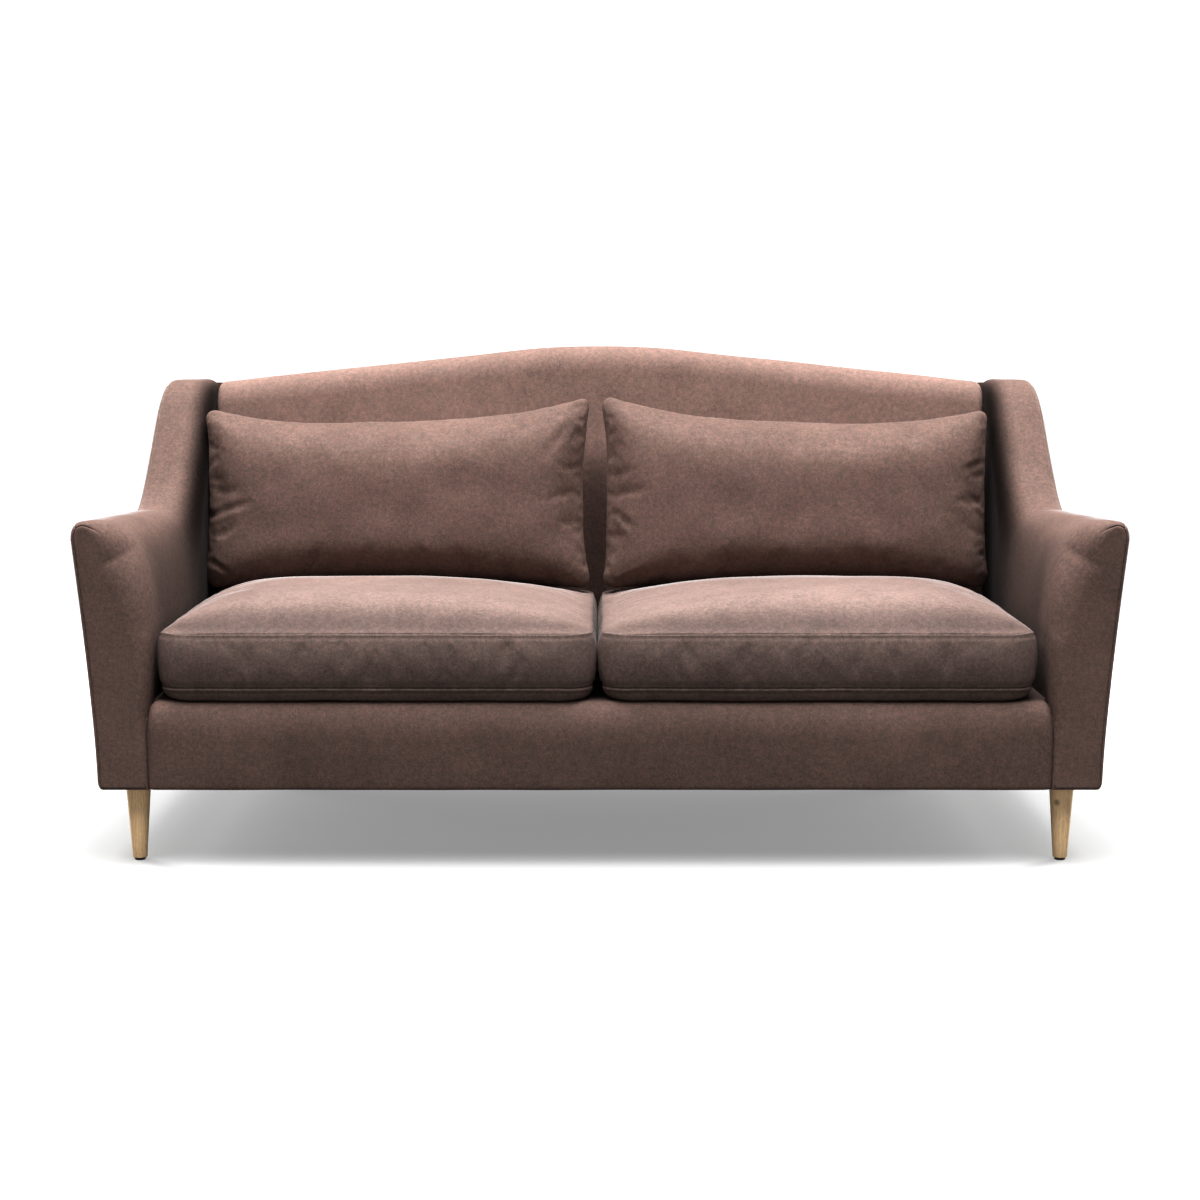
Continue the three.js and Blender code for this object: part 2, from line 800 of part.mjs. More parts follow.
function insideBackGeometry() {
  const ends = edgeRound(backEndRound, 3);
  const middle = camelStations(backHalf).map((x) => [x, 0]);
  const left = ends.map(([run, inset]) => [-backHalf + run, inset]);
  const right = ends.map(([run, inset]) => [backHalf - run, inset]).reverse();
  const ringAt = ([x, inset]) => backSection(x, inset).map(([y, z]) => new THREE.Vector3(x, y, z));
  const skin = loft([...left, ...middle, ...right].map(ringAt));
  const hollowHalf = backHalf - backPad;
  const hollowStations = [-hollowHalf, ...camelStations(hollowHalf), hollowHalf];
  const hollow = loft(hollowStations.map((x) => {
    const top = camelTop(x) - backPad;
    const low = deckBottom - overrun;
    const corners = [
      [backFace(low) + backPad, low],
      [backFace(top) + backPad, top],
      [shellRear + overrun, top],
      [shellRear + overrun, low],
    ];
    return corners.map(([y, z]) => new THREE.Vector3(x, y, z));
  }));
  return cut(skin, [hollow, camelRailGeometry(fit), linerRailGeometry(fit)]);
}

function outsideBackGeometry() {
  const edge = outsideBackEdge;
  const foot = armOuter(sofaDepth, skirtHeight) - edge;
  const shoulder = armOuter(sofaDepth, armRearHeight - tipDrop) - edge;
  const armTopLine = armRearHeight - edge;
  const line = [backHalf, ...camelStations(backHalf).reverse(), -backHalf];
  const side = flareCurve(sofaDepth, edge);
  const outline = [
    [-foot, skirtHeight],
    [foot, skirtHeight],
    ...side,
    [shoulder, armRearHeight - tipDrop],
    [shoulder - tipWidth, armTopLine],
    [armInner, armTopLine],
    ...line.map((x) => [x, camelTop(x) - edge]),
    [-armInner, armTopLine],
    [-shoulder + tipWidth, armTopLine],
    [-shoulder, armRearHeight - tipDrop],
    ...side.map(([x, z]) => [-x, z]).reverse(),
  ];
  return frontBoard(outline, shellRear + fit, sofaDepth);
}

addPiece('inside_back', insideBackGeometry(), 'velvet');
addPiece('outside_back_panel', outsideBackGeometry(), 'velvet');

// Dust cover, with a hole for each leg bolt

const dustCover = block(
  [-armSideOuter, frameFace, skirtHeight],
  [armSideOuter, frameRear, skirtHeight + dustCoverThickness],
);
const boltHoles = legPlaces.map(([, x, y]) => boltHole(skirtHeight, skirtHeight).translate(x, y, 0));
addPiece('dust_cover', cut(dustCover, boltHoles), 'lining');

// Seat cushions: a boxed cover, crowned on top and flat below, over a foam core, with a rear zip

// A rectangle with round corners; the same number of points at every size
function roundedOutline(halfX, halfY, radius) {
  const cornerSteps = 4;
  const sideSteps = 4;
  const corners = [[1, 1], [-1, 1], [-1, -1], [1, -1]];
  const arcs = corners.map(([sx, sy], quarter) =>
    Array.from({ length: cornerSteps + 1 }, (_, i) => {
      const angle = ((quarter + i / cornerSteps) * Math.PI) / 2;
      const x = sx * (halfX - radius) + radius * Math.cos(angle);
      const y = sy * (halfY - radius) + radius * Math.sin(angle);
      return new THREE.Vector2(x, y);
    }));
  return arcs.flatMap((arc, quarter) => {
    const last = arc[arc.length - 1];
    const next = arcs[(quarter + 1) % arcs.length][0];
    const side = Array.from({ length: sideSteps - 1 }, (_, i) =>
      last.clone().lerp(next, (i + 1) / sideSteps));
    return [...arc, ...side];
  });
}

// Powers of the crown's fall towards each side: steep at the outer side, gentle at the inner one
const outerCrownPower = 5;
const innerCrownPower = 2.4;
const depthCrownPower = 3;
const topRingShares = [0.95, 0.86, 0.72, 0.52, 0.28];
const undersideShares = [0.5, 0.9];
const crownCentre = crownPeakDepth - seatCushionFront - seatCushionDepth / 2;
const crownFrontRun = crownPeakDepth - seatCushionFront - cushionDrawn;
const crownRearRun = crownEndDepth - crownPeakDepth;

// How much of the crown stands at a place on the right cushion, outer side at +X, front at -Y
function crownShareAt(x, y) {
  const across = Math.min(Math.abs(x) / (seatCushionWidth / 2 - cushionDrawn), 1);
  const power = x > 0 ? outerCrownPower : innerCrownPower;
  const run = y < crownCentre ? crownFrontRun : crownRearRun;
  const along = Math.min(Math.abs(y - crownCentre) / run, 1);
  return (1 - across ** power) * (1 - along ** depthCrownPower);
}

// The cushion's form drawn in by an inset, with its underside at zero when there is none
function seatCushionForm(inset) {
  const drawn = inset + cushionDrawn;
  const outline = (lost) =>
    roundedOutline(seatCushionWidth / 2 - lost, seatCushionDepth / 2 - lost, cushionCorner - lost);
  const ring = (points, share, height) =>
    points.map((point) => {
      const x = point.x * share;
      const y = point.y * share;
      return new THREE.Vector3(x, y, height(x, y));
    });
  const flat = (height) => () => height;
  const crowned = (x, y) => highSeamRise - inset + seatCrown * crownShareAt(x, y);
  const seams = outline(drawn);
  const rings = [
    ...undersideShares.map((share) => ring(seams, share, flat(inset))),
    ring(seams, 1, flat(lowSeamRise + inset)),
    ring(outline(inset), 1, flat((lowSeamRise + highSeamRise) / 2)),
    ring(seams, 1, flat(highSeamRise - inset)),
    ...topRingShares.map((share) => ring(seams, share, crowned)),
  ];
  const top = new THREE.Vector3(0, 0, crowned(0, 0));
  return loft(rings, new THREE.Vector3(0, 0, inset), top);
}

function seatZip(grow) {
  const middle = (lowSeamRise + highSeamRise) / 2;
  const rear = seatCushionDepth / 2 - coverThickness / 2;
  const run = grow > 0 ? overrun : zipThickness / 2;
  const half = seatZipLength / 2 + grow;
  return block(
    [-half, rear - run, middle - zipHeight / 2 - grow],
    [half, rear + run, middle + zipHeight / 2 + grow],
  );
}

const seatCushionMiddle = seatCushionFront + seatCushionDepth / 2;
const seatShell = cut(seatCushionForm(0), [seatCushionForm(coverThickness), seatZip(fit)]);
const seatPieces = [
  ['seat_cushion_cover', seatShell, 'velvet'],
  ['seat_cushion_core', seatCushionForm(coverThickness + fit), 'foam'],
  ['seat_cushion_zip', seatZip(0), 'zip'],
];

// Back pillows: two panels meeting in an edge seam, with drawn-in sides and eared corners

const pillowColumns = 16;
const pillowRows = 12;
const swellPower = 2.6;
const swellRootShare = 0.62;
const earPower = 3;

// Shares from -1 to 1, closer together towards the edges
function spread(count) {
  return Array.from({ length: count + 1 }, (_, i) => Math.sin((i / count - 0.5) * Math.PI));
}

function swellShare(s, t) {
  const across = Math.max(1 - Math.abs(s) ** swellPower, 0);
  const up = Math.max(1 - Math.abs(t) ** swellPower, 0);
  return (across * up) ** swellRootShare;
}

// The pillow's form in its own plane, lower corners at height zero, drawn in by an inset
function pillowForm(edge, wall, columns, rows) {
  const halfWidth = pillowWidth / 2 - edge;
  const halfHeight = pillowHeight / 2 - edge;
  const place = (s, t, swell) => {
    const sides = 1 - Math.abs(t) ** earPower;
    const ends = 1 - Math.abs(s) ** earPower;
    const dip = t > 0 ? -pillowTopDip : pillowBottomDip;
    const x = s * (halfWidth - pillowSideDraw * sides);
    const z = pillowHeight / 2 + t * halfHeight + dip * ends * t * t;
    return new THREE.Vector3(x, swell * swellShare(s, t), z);
  };
  const acrossShares = spread(columns);
  const upShares = spread(rows);
  const points = [];
  const faces = [];
  for (const swell of [-(pillowFrontSwell - wall), pillowRearSwell - wall]) {
    const base = points.length;
    for (const t of upShares) {
      points.push(...acrossShares.map((s) => place(s, t, swell)));
    }
    for (let row = 0; row < rows; row += 1) {
      for (let column = 0; column < columns; column += 1) {
        const a = base + row * (columns + 1) + column;
        const b = a + columns + 1;
        const quad = [a, a + 1, b + 1, a, b + 1, b];
        faces.push(...(swell > 0 ? quad.reverse() : quad));
      }
    }
  }
  return facingOut(points, faces);
}

function pillowZip(grow) {
  const half = pillowZipLength / 2 + grow;
  const low = pillowBottomDip + fit + zipThickness;
  const bottom = grow > 0 ? -overrun : low;
  const top = grow > 0 ? pillowEdge + pillowBottomDip + zipThickness : low + pillowZipHeight;
  return block([-half, -zipThickness / 2 - grow, bottom], [half, zipThickness / 2 + grow, top]);
}

const innerColumns = 10;
const innerRows = 8;
const pillowHollow = pillowForm(pillowEdge, coverThickness, innerColumns, innerRows);
const pillowFill = pillowForm(pillowEdge + fit, coverThickness + fit, innerColumns, innerRows);
const pillowShell = cut(pillowForm(0, 0, pillowColumns, pillowRows), [pillowHollow, pillowZip(fit)]);
const pillowPieces = [
  ['back_pillow_cover', pillowShell, 'velvet'],
  ['back_pillow_fill', pillowFill, 'fibre'],
  ['back_pillow_zip', pillowZip(0), 'zip'],
];
const pillowPlane = pillowRearSwell + fit;

for (const [side, turn] of [['left', -1], ['right', 1]]) {
  const turned = (geometry) => (turn < 0 ? mirrored(geometry) : geometry);
  const seatX = gapOffset + (turn * (seatCushionWidth + cushionGap)) / 2;
  for (const [name, geometry, finish] of seatPieces) {
    const piece = addPiece(`${name}_${side}`, turned(geometry), finish);
    piece.position.set(seatX, seatCushionMiddle, cushionBottom);
  }
  const pillowX = gapOffset + (turn * (pillowWidth + pillowGap)) / 2;
  for (const [name, geometry, finish] of pillowPieces) {
    const piece = addPiece(`${name}_${side}`, turned(geometry), finish);
    const rearward = pillowPlane * Math.cos(rake);
    const upward = pillowPlane * Math.sin(rake);
    piece.position.set(pillowX, backFace(pillowBase) - rearward, pillowBase + upward);
    piece.rotation.x = -rake;
  }
}

export default sofa;
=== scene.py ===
import math

import bmesh
import bpy
import numpy as np
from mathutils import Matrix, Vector, bvhtree, kdtree, noise


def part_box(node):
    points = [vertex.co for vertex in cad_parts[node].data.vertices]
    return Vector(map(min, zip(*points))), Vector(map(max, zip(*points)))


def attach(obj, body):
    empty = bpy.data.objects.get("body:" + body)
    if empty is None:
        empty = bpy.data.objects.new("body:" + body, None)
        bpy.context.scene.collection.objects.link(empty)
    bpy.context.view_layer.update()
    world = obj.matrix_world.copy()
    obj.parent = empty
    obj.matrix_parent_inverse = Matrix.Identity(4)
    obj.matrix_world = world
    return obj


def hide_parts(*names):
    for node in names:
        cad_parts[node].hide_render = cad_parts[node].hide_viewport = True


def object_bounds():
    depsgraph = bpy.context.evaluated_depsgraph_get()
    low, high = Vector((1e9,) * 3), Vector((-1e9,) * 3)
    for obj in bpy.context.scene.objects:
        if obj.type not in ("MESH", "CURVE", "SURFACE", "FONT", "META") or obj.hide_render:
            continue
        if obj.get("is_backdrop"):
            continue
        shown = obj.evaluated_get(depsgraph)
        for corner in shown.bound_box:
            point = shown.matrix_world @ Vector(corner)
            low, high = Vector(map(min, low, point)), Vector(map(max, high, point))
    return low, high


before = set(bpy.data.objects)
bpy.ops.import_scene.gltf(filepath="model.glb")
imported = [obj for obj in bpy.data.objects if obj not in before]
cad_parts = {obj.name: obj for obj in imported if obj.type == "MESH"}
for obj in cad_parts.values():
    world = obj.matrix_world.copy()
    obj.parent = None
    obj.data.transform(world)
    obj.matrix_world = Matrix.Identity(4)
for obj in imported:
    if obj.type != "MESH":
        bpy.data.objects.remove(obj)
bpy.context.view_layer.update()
bpy.ops.object.select_all(action="DESELECT")
scene = bpy.context.scene

# Studio: a plain white floor and background, one big soft light overhead, weaker ones in front
# and at the sides, and a camera a metre above the floor that looks a little down at the sofa.
photo_width = 1200
focal_length = 2285
sensor_width = 36
camera_place = (0, -4.52, 0.988)
camera_tilt = math.radians(83)
floor_size = 60
picture_exposure = 0.5
picture_gamma = 0.76
backdrop_strengths = (0.03, 1.05)
floor_in_light, floor_in_view = (0.14, 0.135, 0.13, 1), (0.23, 0.23, 0.23, 1)
floor_glow_in_view = (0.262, 0.262, 0.262, 1)
sides = (("left", -1), ("right", 1))


def shader_node(tree, kind, sockets=None, **settings):
    node = tree.nodes.new("ShaderNode" + kind)
    for name, value in settings.items():
        setattr(node, name, value)
    for name, value in (sockets or {}).items():
        if isinstance(value, bpy.types.NodeSocket):
            tree.links.new(value, node.inputs[name])
        else:
            node.inputs[name].default_value = value
    return node


def ranged(tree, value, source=(0.0, 1.0), target=(0.0, 1.0), smooth=False):
    """A value carried over from one range to another."""
    return shader_node(tree, "MapRange", {
        "Value": value, "From Min": source[0], "From Max": source[1],
        "To Min": target[0], "To Max": target[1],
    }, interpolation_type="SMOOTHSTEP" if smooth else "LINEAR").outputs["Result"]


def mixed_colour(tree, share, first, second):
    return shader_node(tree, "Mix", {0: share, 6: first, 7: second}, data_type="RGBA").outputs[2]


def new_material(name):
    material = bpy.data.materials.new(name)
    material.use_nodes = True
    return material, material.node_tree


def soft_light(name, place, target, size, watts):
    bpy.ops.object.light_add(type="AREA", location=place)
    light = bpy.context.object
    light.name = name
    light.data.shape = "RECTANGLE"
    light.data.size, light.data.size_y = size
    light.data.energy = watts
    light.rotation_euler = (Vector(target) - Vector(place)).to_track_quat("-Z", "Y").to_euler()
    light.visible_camera = False


def sky_light(name, lean, sideways, strength, spread):
    bpy.ops.object.light_add(type="SUN", rotation=(math.radians(lean), math.radians(sideways), 0))
    light = bpy.context.object
    light.name = name
    light.data.energy = strength
    light.data.angle = math.radians(spread)


bpy.ops.object.camera_add(location=camera_place, rotation=(camera_tilt, 0, 0))
camera = bpy.context.object
camera.data.sensor_width = sensor_width
camera.data.lens = sensor_width * focal_length / photo_width
camera.data.clip_end = floor_size
scene.camera = camera
scene.view_settings.view_transform = "Standard"
scene.view_settings.exposure = picture_exposure
scene.view_settings.gamma = picture_gamma

world = bpy.data.worlds.new("studio")
world.use_nodes = True
world_tree = world.node_tree
seen = shader_node(world_tree, "LightPath").outputs["Is Camera Ray"]
background = world_tree.nodes["Background"]
background.inputs["Color"].default_value = (1, 1, 1, 1)
world_tree.links.new(ranged(world_tree, seen, target=backdrop_strengths), background.inputs["Strength"])
scene.world = world

sky_light("overhead", 0, 0, 3.9, 40)
for side, turn in sides:
    sky_light(f"{side}_sky", 20, turn * 22, 1.65, 36)
    soft_light(f"{side}_top", (turn * 0.75, -0.35, 2.6), (turn * 0.5, -0.3, 0.4), (0.5, 0.6), 17)
    soft_light(f"{side}_rim", (turn * 3.2, 1.9, 1.2), (turn * 0.9, 0.2, 0.5), (0.8, 1.6), 140)
soft_light("front_fill", (0, -3.8, 1.2), (0, 0, 0.5), (3, 1.6), 11)

bpy.ops.mesh.primitive_plane_add(size=floor_size)
floor = bpy.context.object
floor.name = "floor"
floor_paint, floor_tree = new_material("floor_paint")
floor_inputs = floor_tree.nodes["Principled BSDF"].inputs
seen = shader_node(floor_tree, "LightPath").outputs["Is Camera Ray"]
for socket, in_light, in_view in (("Base Color", floor_in_light, floor_in_view),
                                  ("Emission Color", (0, 0, 0, 1), floor_glow_in_view)):
    floor_tree.links.new(mixed_colour(floor_tree, seen, in_light, in_view), floor_inputs[socket])
floor_inputs["Emission Strength"].default_value = 1
floor_inputs["Roughness"].default_value = 0.9
floor_inputs["Specular IOR Level"].default_value = 0.1
floor.data.materials.append(floor_paint)
floor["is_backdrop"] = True

# Legs: four plain tapered oak legs, turned on a lathe, with a small chamfer round the foot and a
# clear satin finish. Each is screwed to the corner of the seat frame by a bolt down its middle.
leg_corners = ("front_left", "front_right", "rear_left", "rear_right")
leg_foot_radius = 0.013
leg_edge = 0.0016
oak_light = (0.98, 0.73, 0.45, 1)
oak_dark = (0.88, 0.60, 0.33, 1)


def shader_group(name, inputs, outputs):
    group = bpy.data.node_groups.new(name, "ShaderNodeTree")
    for socket, kind, start in inputs:
        made = group.interface.new_socket(socket, in_out="INPUT", socket_type=kind)
        if start is not None:
            made.default_value = start
    for socket, kind in outputs:
        group.interface.new_socket(socket, in_out="OUTPUT", socket_type=kind)
    return group, group.nodes.new("NodeGroupInput"), group.nodes.new("NodeGroupOutput")


def cloud(tree, place, scale, detail, **more):
    return shader_node(tree, "TexNoise", {"Vector": place, "Scale": scale, "Detail": detail, **more})


def computed(tree, operation, *values):
    return shader_node(tree, "Math", dict(enumerate(values)), operation=operation).outputs[0]


def surface(tree, colour, roughness, height, strength, distance):
    """Feeds a colour, a roughness and a bump height to a material's shader."""
    bump = shader_node(tree, "Bump", {"Height": height, "Strength": strength, "Distance": distance})
    inputs = tree.nodes["Principled BSDF"].inputs
    tree.links.new(colour, inputs["Base Color"])
    tree.links.new(roughness, inputs["Roughness"])
    tree.links.new(bump.outputs["Normal"], inputs["Normal"])


def wood_grain_group():
    group, given, result = shader_group(
        "wood_grain",
        [("Vector", "NodeSocketVector", None), ("Ring Scale", "NodeSocketFloat", 60.0),
         ("Stretch", "NodeSocketFloat", 0.06)],
        [("Figure", "NodeSocketFloat"), ("Pores", "NodeSocketFloat")],
    )
    lengthways = shader_node(group, "CombineXYZ", {"X": 1.0, "Y": 1.0, "Z": given.outputs["Stretch"]})
    along = shader_node(group, "VectorMath", {
        0: given.outputs["Vector"], 1: lengthways.outputs["Vector"],
    }, operation="MULTIPLY").outputs["Vector"]
    drift = cloud(group, along, 18.0, 3.0, Distortion=0.6)
    bent = shader_node(group, "VectorMath", {
        0: drift.outputs["Color"], 1: (0.03, 0.03, 0.0), 2: along,
    }, operation="MULTIPLY_ADD")
    rings = shader_node(group, "TexWave", {
        "Vector": bent.outputs["Vector"], "Scale": given.outputs["Ring Scale"],
        "Distortion": 2.2, "Detail": 2.0, "Detail Scale": 1.4,
    }, wave_type="BANDS", bands_direction="X")
    figure = computed(group, "MULTIPLY_ADD", rings.outputs["Fac"], 0.6, drift.outputs["Fac"])
    pores = cloud(group, along, 900.0, 2.0, Roughness=0.7)
    group.links.new(figure, result.inputs["Figure"])
    group.links.new(pores.outputs["Fac"], result.inputs["Pores"])
    return group


wood_grain = wood_grain_group()


def wood_material(name, light, dark, roughness, turn=(0, 0, 0), shift=(0, 0, 0), rings=60.0, knot=None):
    material, tree = new_material(name)
    place = shader_node(tree, "TexCoord").outputs["Object"]
    turned = shader_node(tree, "Mapping", {"Vector": place, "Location": shift, "Rotation": turn})
    grain = shader_node(tree, "Group", {
        "Vector": turned.outputs["Vector"], "Ring Scale": rings,
    }, node_tree=wood_grain).outputs
    ramp = shader_node(tree, "ValToRGB", {"Fac": grain["Figure"]})
    for stop, position, shade in zip(ramp.color_ramp.elements, (0.25, 0.85), (dark, light)):
        stop.position, stop.color = position, shade
    value = ranged(tree, grain["Pores"], (0.3, 0.6), (0.78, 1.04))
    if knot:
        away = shader_node(tree, "VectorMath", {0: place, 1: knot}, operation="DISTANCE")
        spot = ranged(tree, away.outputs["Value"], (0.002, 0.009), (0.45, 1.0), smooth=True)
        value = computed(tree, "MULTIPLY", value, spot)
    colour = shader_node(tree, "HueSaturation", {"Value": value, "Color": ramp.outputs["Color"]})
    rough = ranged(tree, grain["Figure"], target=(roughness + 0.08, roughness - 0.06))
    surface(tree, colour.outputs["Color"], rough, grain["Pores"], 0.25, 0.0004)
    return material


def only(piece):
    bpy.ops.object.select_all(action="DESELECT")
    piece.select_set(True)
    bpy.context.view_layer.objects.active = piece
    return piece


def place_in_mesh(piece):
    only(piece)
    bpy.ops.object.transform_apply(location=True, rotation=True, scale=True)


def select_edges(piece, wanted):
    only(piece)
    bpy.ops.object.mode_set(mode="EDIT")
    bpy.ops.mesh.select_all(action="DESELECT")
    bpy.ops.mesh.select_mode(type="EDGE")
    mesh = bmesh.from_edit_mesh(piece.data)
    for edge in mesh.edges:
        edge.select = wanted(*(vertex.co for vertex in edge.verts))
    mesh.select_flush_mode()
    bmesh.update_edit_mesh(piece.data)


for number, corner in enumerate(leg_corners):
    low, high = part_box(f"leg_{corner}")
    middle = (low + high) / 2
    bpy.ops.mesh.primitive_cone_add(
        vertices=64, radius1=leg_foot_radius, radius2=(high.x - low.x) / 2,
        depth=high.z - low.z, location=middle,
    )
    leg = bpy.context.object
    leg.name = f"oak_leg_{corner}"
    place_in_mesh(leg)
    select_edges(leg, lambda a, b: abs(a.z - b.z) < leg_edge)
    bpy.ops.mesh.bevel(offset=leg_edge, segments=3)
    bpy.ops.object.mode_set(mode="OBJECT")
    bpy.ops.object.shade_smooth_by_angle(angle=math.radians(40))
    knot = (middle.x - 0.012, middle.y - 0.018, high.z - 0.03) if corner == "front_right" else None
    leg.data.materials.append(wood_material(
        f"oak_{corner}", oak_light, oak_dark, 0.42, shift=(number * 0.37, number * 0.21, 0), knot=knot,
    ))
    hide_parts(f"leg_{corner}")
    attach(leg, "frame")


# Front border: the padded cover of the front rail, one length of velvet over a thin wadding. Its
# top edge is rolled back to the deck, and its upper corners are rounded off beside the arms.
depth_of_front = -0.45
border_low, border_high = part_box("front_border")
border_round = 0.014
border_top_round = (0.030, 0.066)
border_corner_width = 0.020
border_corner_height = 0.029
border_crown = 0.0036
border_overlap = 0.0032
border_lip_depth = 0.015
border_lip_thickness = 0.012
weld_reach = 0.00002
velvet_warm = (0.157, 0.102, 0.087, 1)
velvet_cool = (0.114, 0.084, 0.0735, 1)
# The pale grey that the velvet's colour is painted towards at its rims, as a painted sheen.
painted_sheen_colour = (0.43, 0.46, 0.475, 1)
velvet_sheen = (1.0, 0.92, 0.88, 1)


def pile_mottle_group():
    group, given, result = shader_group(
        "pile_mottle",
        [("Vector", "NodeSocketVector", None), ("Amount", "NodeSocketFloat", 1.0)],
        [("Shade", "NodeSocketFloat"), ("Warmth", "NodeSocketFloat")],
    )
    sizes = ((4.0, 2.0, 0.20), (14.0, 2.0, 0.15), (60.0, 2.0, 0.08), (300.0, 2.0, 0.34), (700.0, 1.0, 0.28))
    place = given.outputs["Vector"]
    shade = 0.0
    for size, detail, weight in sizes:
        spots = cloud(group, place, size, detail, Roughness=0.6)
        shade = computed(group, "MULTIPLY_ADD", spots.outputs["Fac"], weight * 2, shade)
    middle = sum(weight for size, detail, weight in sizes)
    centred = computed(group, "SUBTRACT", shade, middle)
    scaled = computed(group, "MULTIPLY_ADD", centred, given.outputs["Amount"], 1.0)
    patches = cloud(group, place, 120.0, 4.0, Roughness=0.75)
    group.links.new(scaled, result.inputs["Shade"])
    group.links.new(ranged(group, patches.outputs["Fac"], (0.36, 0.64)), result.inputs["Warmth"])
    return group


def pile_nap_group():
    group, given, result = shader_group(
        "pile_nap",
        [("Vector", "NodeSocketVector", None)],
        [("Height", "NodeSocketFloat")],
    )
    tufts = cloud(group, given.outputs["Vector"], 850.0, 2.0, Roughness=0.65)
    brushed = cloud(group, given.outputs["Vector"], 150.0, 3.0, Roughness=0.7)
    height = computed(group, "MULTIPLY_ADD", brushed.outputs["Fac"], 1.6, tufts.outputs["Fac"])
    group.links.new(height, result.inputs["Height"])
    return group


pile_mottle = pile_mottle_group()
pile_nap = pile_nap_group()


def velvet_material(name, shift=(0, 0, 0), tone=1.0, amount=1.0, saturation=1.0):
    """Tone is painted light: a brightness for the whole piece, so that the pieces are lighter and darker
    copies of one velvet, after the light each gets. The attribute "brushed" of a mesh holds painted shade,
    where its colour is darker."""
    material, tree = new_material(name)
    place = shader_node(tree, "TexCoord").outputs["Object"]
    moved = shader_node(tree, "Mapping", {"Vector": place, "Location": shift}).outputs["Vector"]
    mottle = shader_node(tree, "Group", {"Vector": moved, "Amount": amount}, node_tree=pile_mottle).outputs
    nap = shader_node(tree, "Group", {"Vector": moved}, node_tree=pile_nap).outputs
    # Painted light and shade: the colour's value is scaled by tone, and darkened where the attribute
    # "brushed" is high.
    brushed = shader_node(tree, "Attribute", attribute_name="brushed")
    upright = ranged(tree, brushed.outputs["Fac"], target=(tone, 0.0))
    colour = shader_node(tree, "HueSaturation", {
        "Saturation": saturation, "Value": computed(tree, "MULTIPLY", mottle["Shade"], upright),
        "Color": mixed_colour(tree, mottle["Warmth"], velvet_cool, velvet_warm),
    })
    # Painted sheen: where the surface turns away from view, its colour is lightened towards a pale grey, as
    # a highlight along the rims.
    facing = shader_node(tree, "LayerWeight", {"Blend": 0.5})
    edge = ranged(tree, facing.outputs["Facing"], (0.90, 1.0), (0.0, 0.40), smooth=True)
    with_painted_sheen = mixed_colour(tree, edge, colour.outputs["Color"], painted_sheen_colour)
    rough = ranged(tree, mottle["Shade"], (0.7, 1.3), (0.82, 0.68))
    surface(tree, with_painted_sheen, rough, nap["Height"], 0.4, 0.0007)
    inputs = tree.nodes["Principled BSDF"].inputs
    inputs["Specular IOR Level"].default_value = 0.08
    inputs["Sheen Weight"].default_value = 0.05
    inputs["Sheen Roughness"].default_value = 0.3
    inputs["Sheen Tint"].default_value = velvet_sheen
    return material


def mix(start, end, share):
    return start + (end - start) * share


def smooth_share(low, high, value):
    share = np.clip((np.asarray(value, float) - low) / (high - low), 0, 1)
    return share * share * (3 - 2 * share)


def straight(start, end, steps):
    """Points from start towards end, without end."""
    shares = np.arange(steps)[:, None] / steps
    return mix(np.array(start, float), np.array(end, float), shares)


def bend(start, corner, end, steps):
    """Points round a corner on a quadratic curve, without its end."""
    shares = (np.arange(steps) / steps if isinstance(steps, int) else np.array(steps))[:, None]
    start, corner, end = (np.array(point, float) for point in (start, corner, end))
    return mix(mix(start, corner, shares), mix(corner, end, shares), shares)


def linked(name, data):
    piece = bpy.data.objects.new(name, data)
    scene.collection.objects.link(piece)
    return piece


def edit_all(piece, *operations):
    only(piece)
    bpy.ops.object.mode_set(mode="EDIT")
    bpy.ops.mesh.select_all(action="SELECT")
    for operation in operations:
        operation()
    bpy.ops.object.mode_set(mode="OBJECT")


def weld():
    bpy.ops.mesh.remove_doubles(threshold=weld_reach)


def skin(name, points, faces):
    """A smooth mesh with its doubled points welded and its faces turned out."""
    data = bpy.data.meshes.new(name)
    data.from_pydata(points, [], faces)
    piece = linked(name, data)
    edit_all(piece, weld, lambda: bpy.ops.mesh.normals_make_consistent(inside=False))
    bpy.ops.object.shade_smooth()
    return piece


def skin_over_rows(name, rows, closed):
    """A mesh over rows of points, each row as long as the next, with a face over both ends."""
    rows = np.asarray(rows, float)
    count = rows.shape[1]
    faces = []
    for row in range(len(rows) - 1):
        for i in range(count if closed else count - 1):
            a, b = row * count + i, row * count + (i + 1) % count
            faces.append((a, b, b + count, a + count))
    faces.append(tuple(range(count)))
    faces.append(tuple(range((len(rows) - 1) * count, len(rows) * count)))
    return skin(name, rows.reshape(-1, 3).tolist(), faces)


def apply_modifier(piece, kind, **settings):
    modifier = only(piece).modifiers.new(kind.lower(), kind)
    for name, value in settings.items():
        setattr(modifier, name, value)
    bpy.ops.object.modifier_apply(modifier=modifier.name)


def push_out(piece, amounts):
    """Moves each point of a piece out along its normal, or in where its amount is negative."""
    normals = [vertex.normal.copy() for vertex in piece.data.vertices]
    for vertex, normal, amount in zip(piece.data.vertices, normals, amounts):
        vertex.co += normal * amount
    piece.data.update()


def soften(piece, amount, size, seed, share_at=lambda place: 1.0):
    """Gives upholstery the slight unevenness of wadding under cloth."""
    offset = Vector((seed, seed * 1.7, 0))
    push_out(piece, [noise.noise(vertex.co / size + offset) * amount * float(share_at(vertex.co))
                     for vertex in piece.data.vertices])


def paint_shade(piece, share_at):
    """Paints shade into a piece's colour: share_at gives how much darker it is painted at a place, from 0
    to 1.
    """
    # The painted shade is kept in the mesh attribute "brushed".
    shares = piece.data.attributes.new("brushed", "FLOAT", "POINT")
    shares.data.foreach_set("value", [float(share_at(vertex.co)) for vertex in piece.data.vertices])


def upholstered(piece, nodes, material, body="frame"):
    piece.data.materials.clear()
    piece.data.materials.append(material)
    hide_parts(*nodes)
    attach(piece, body)


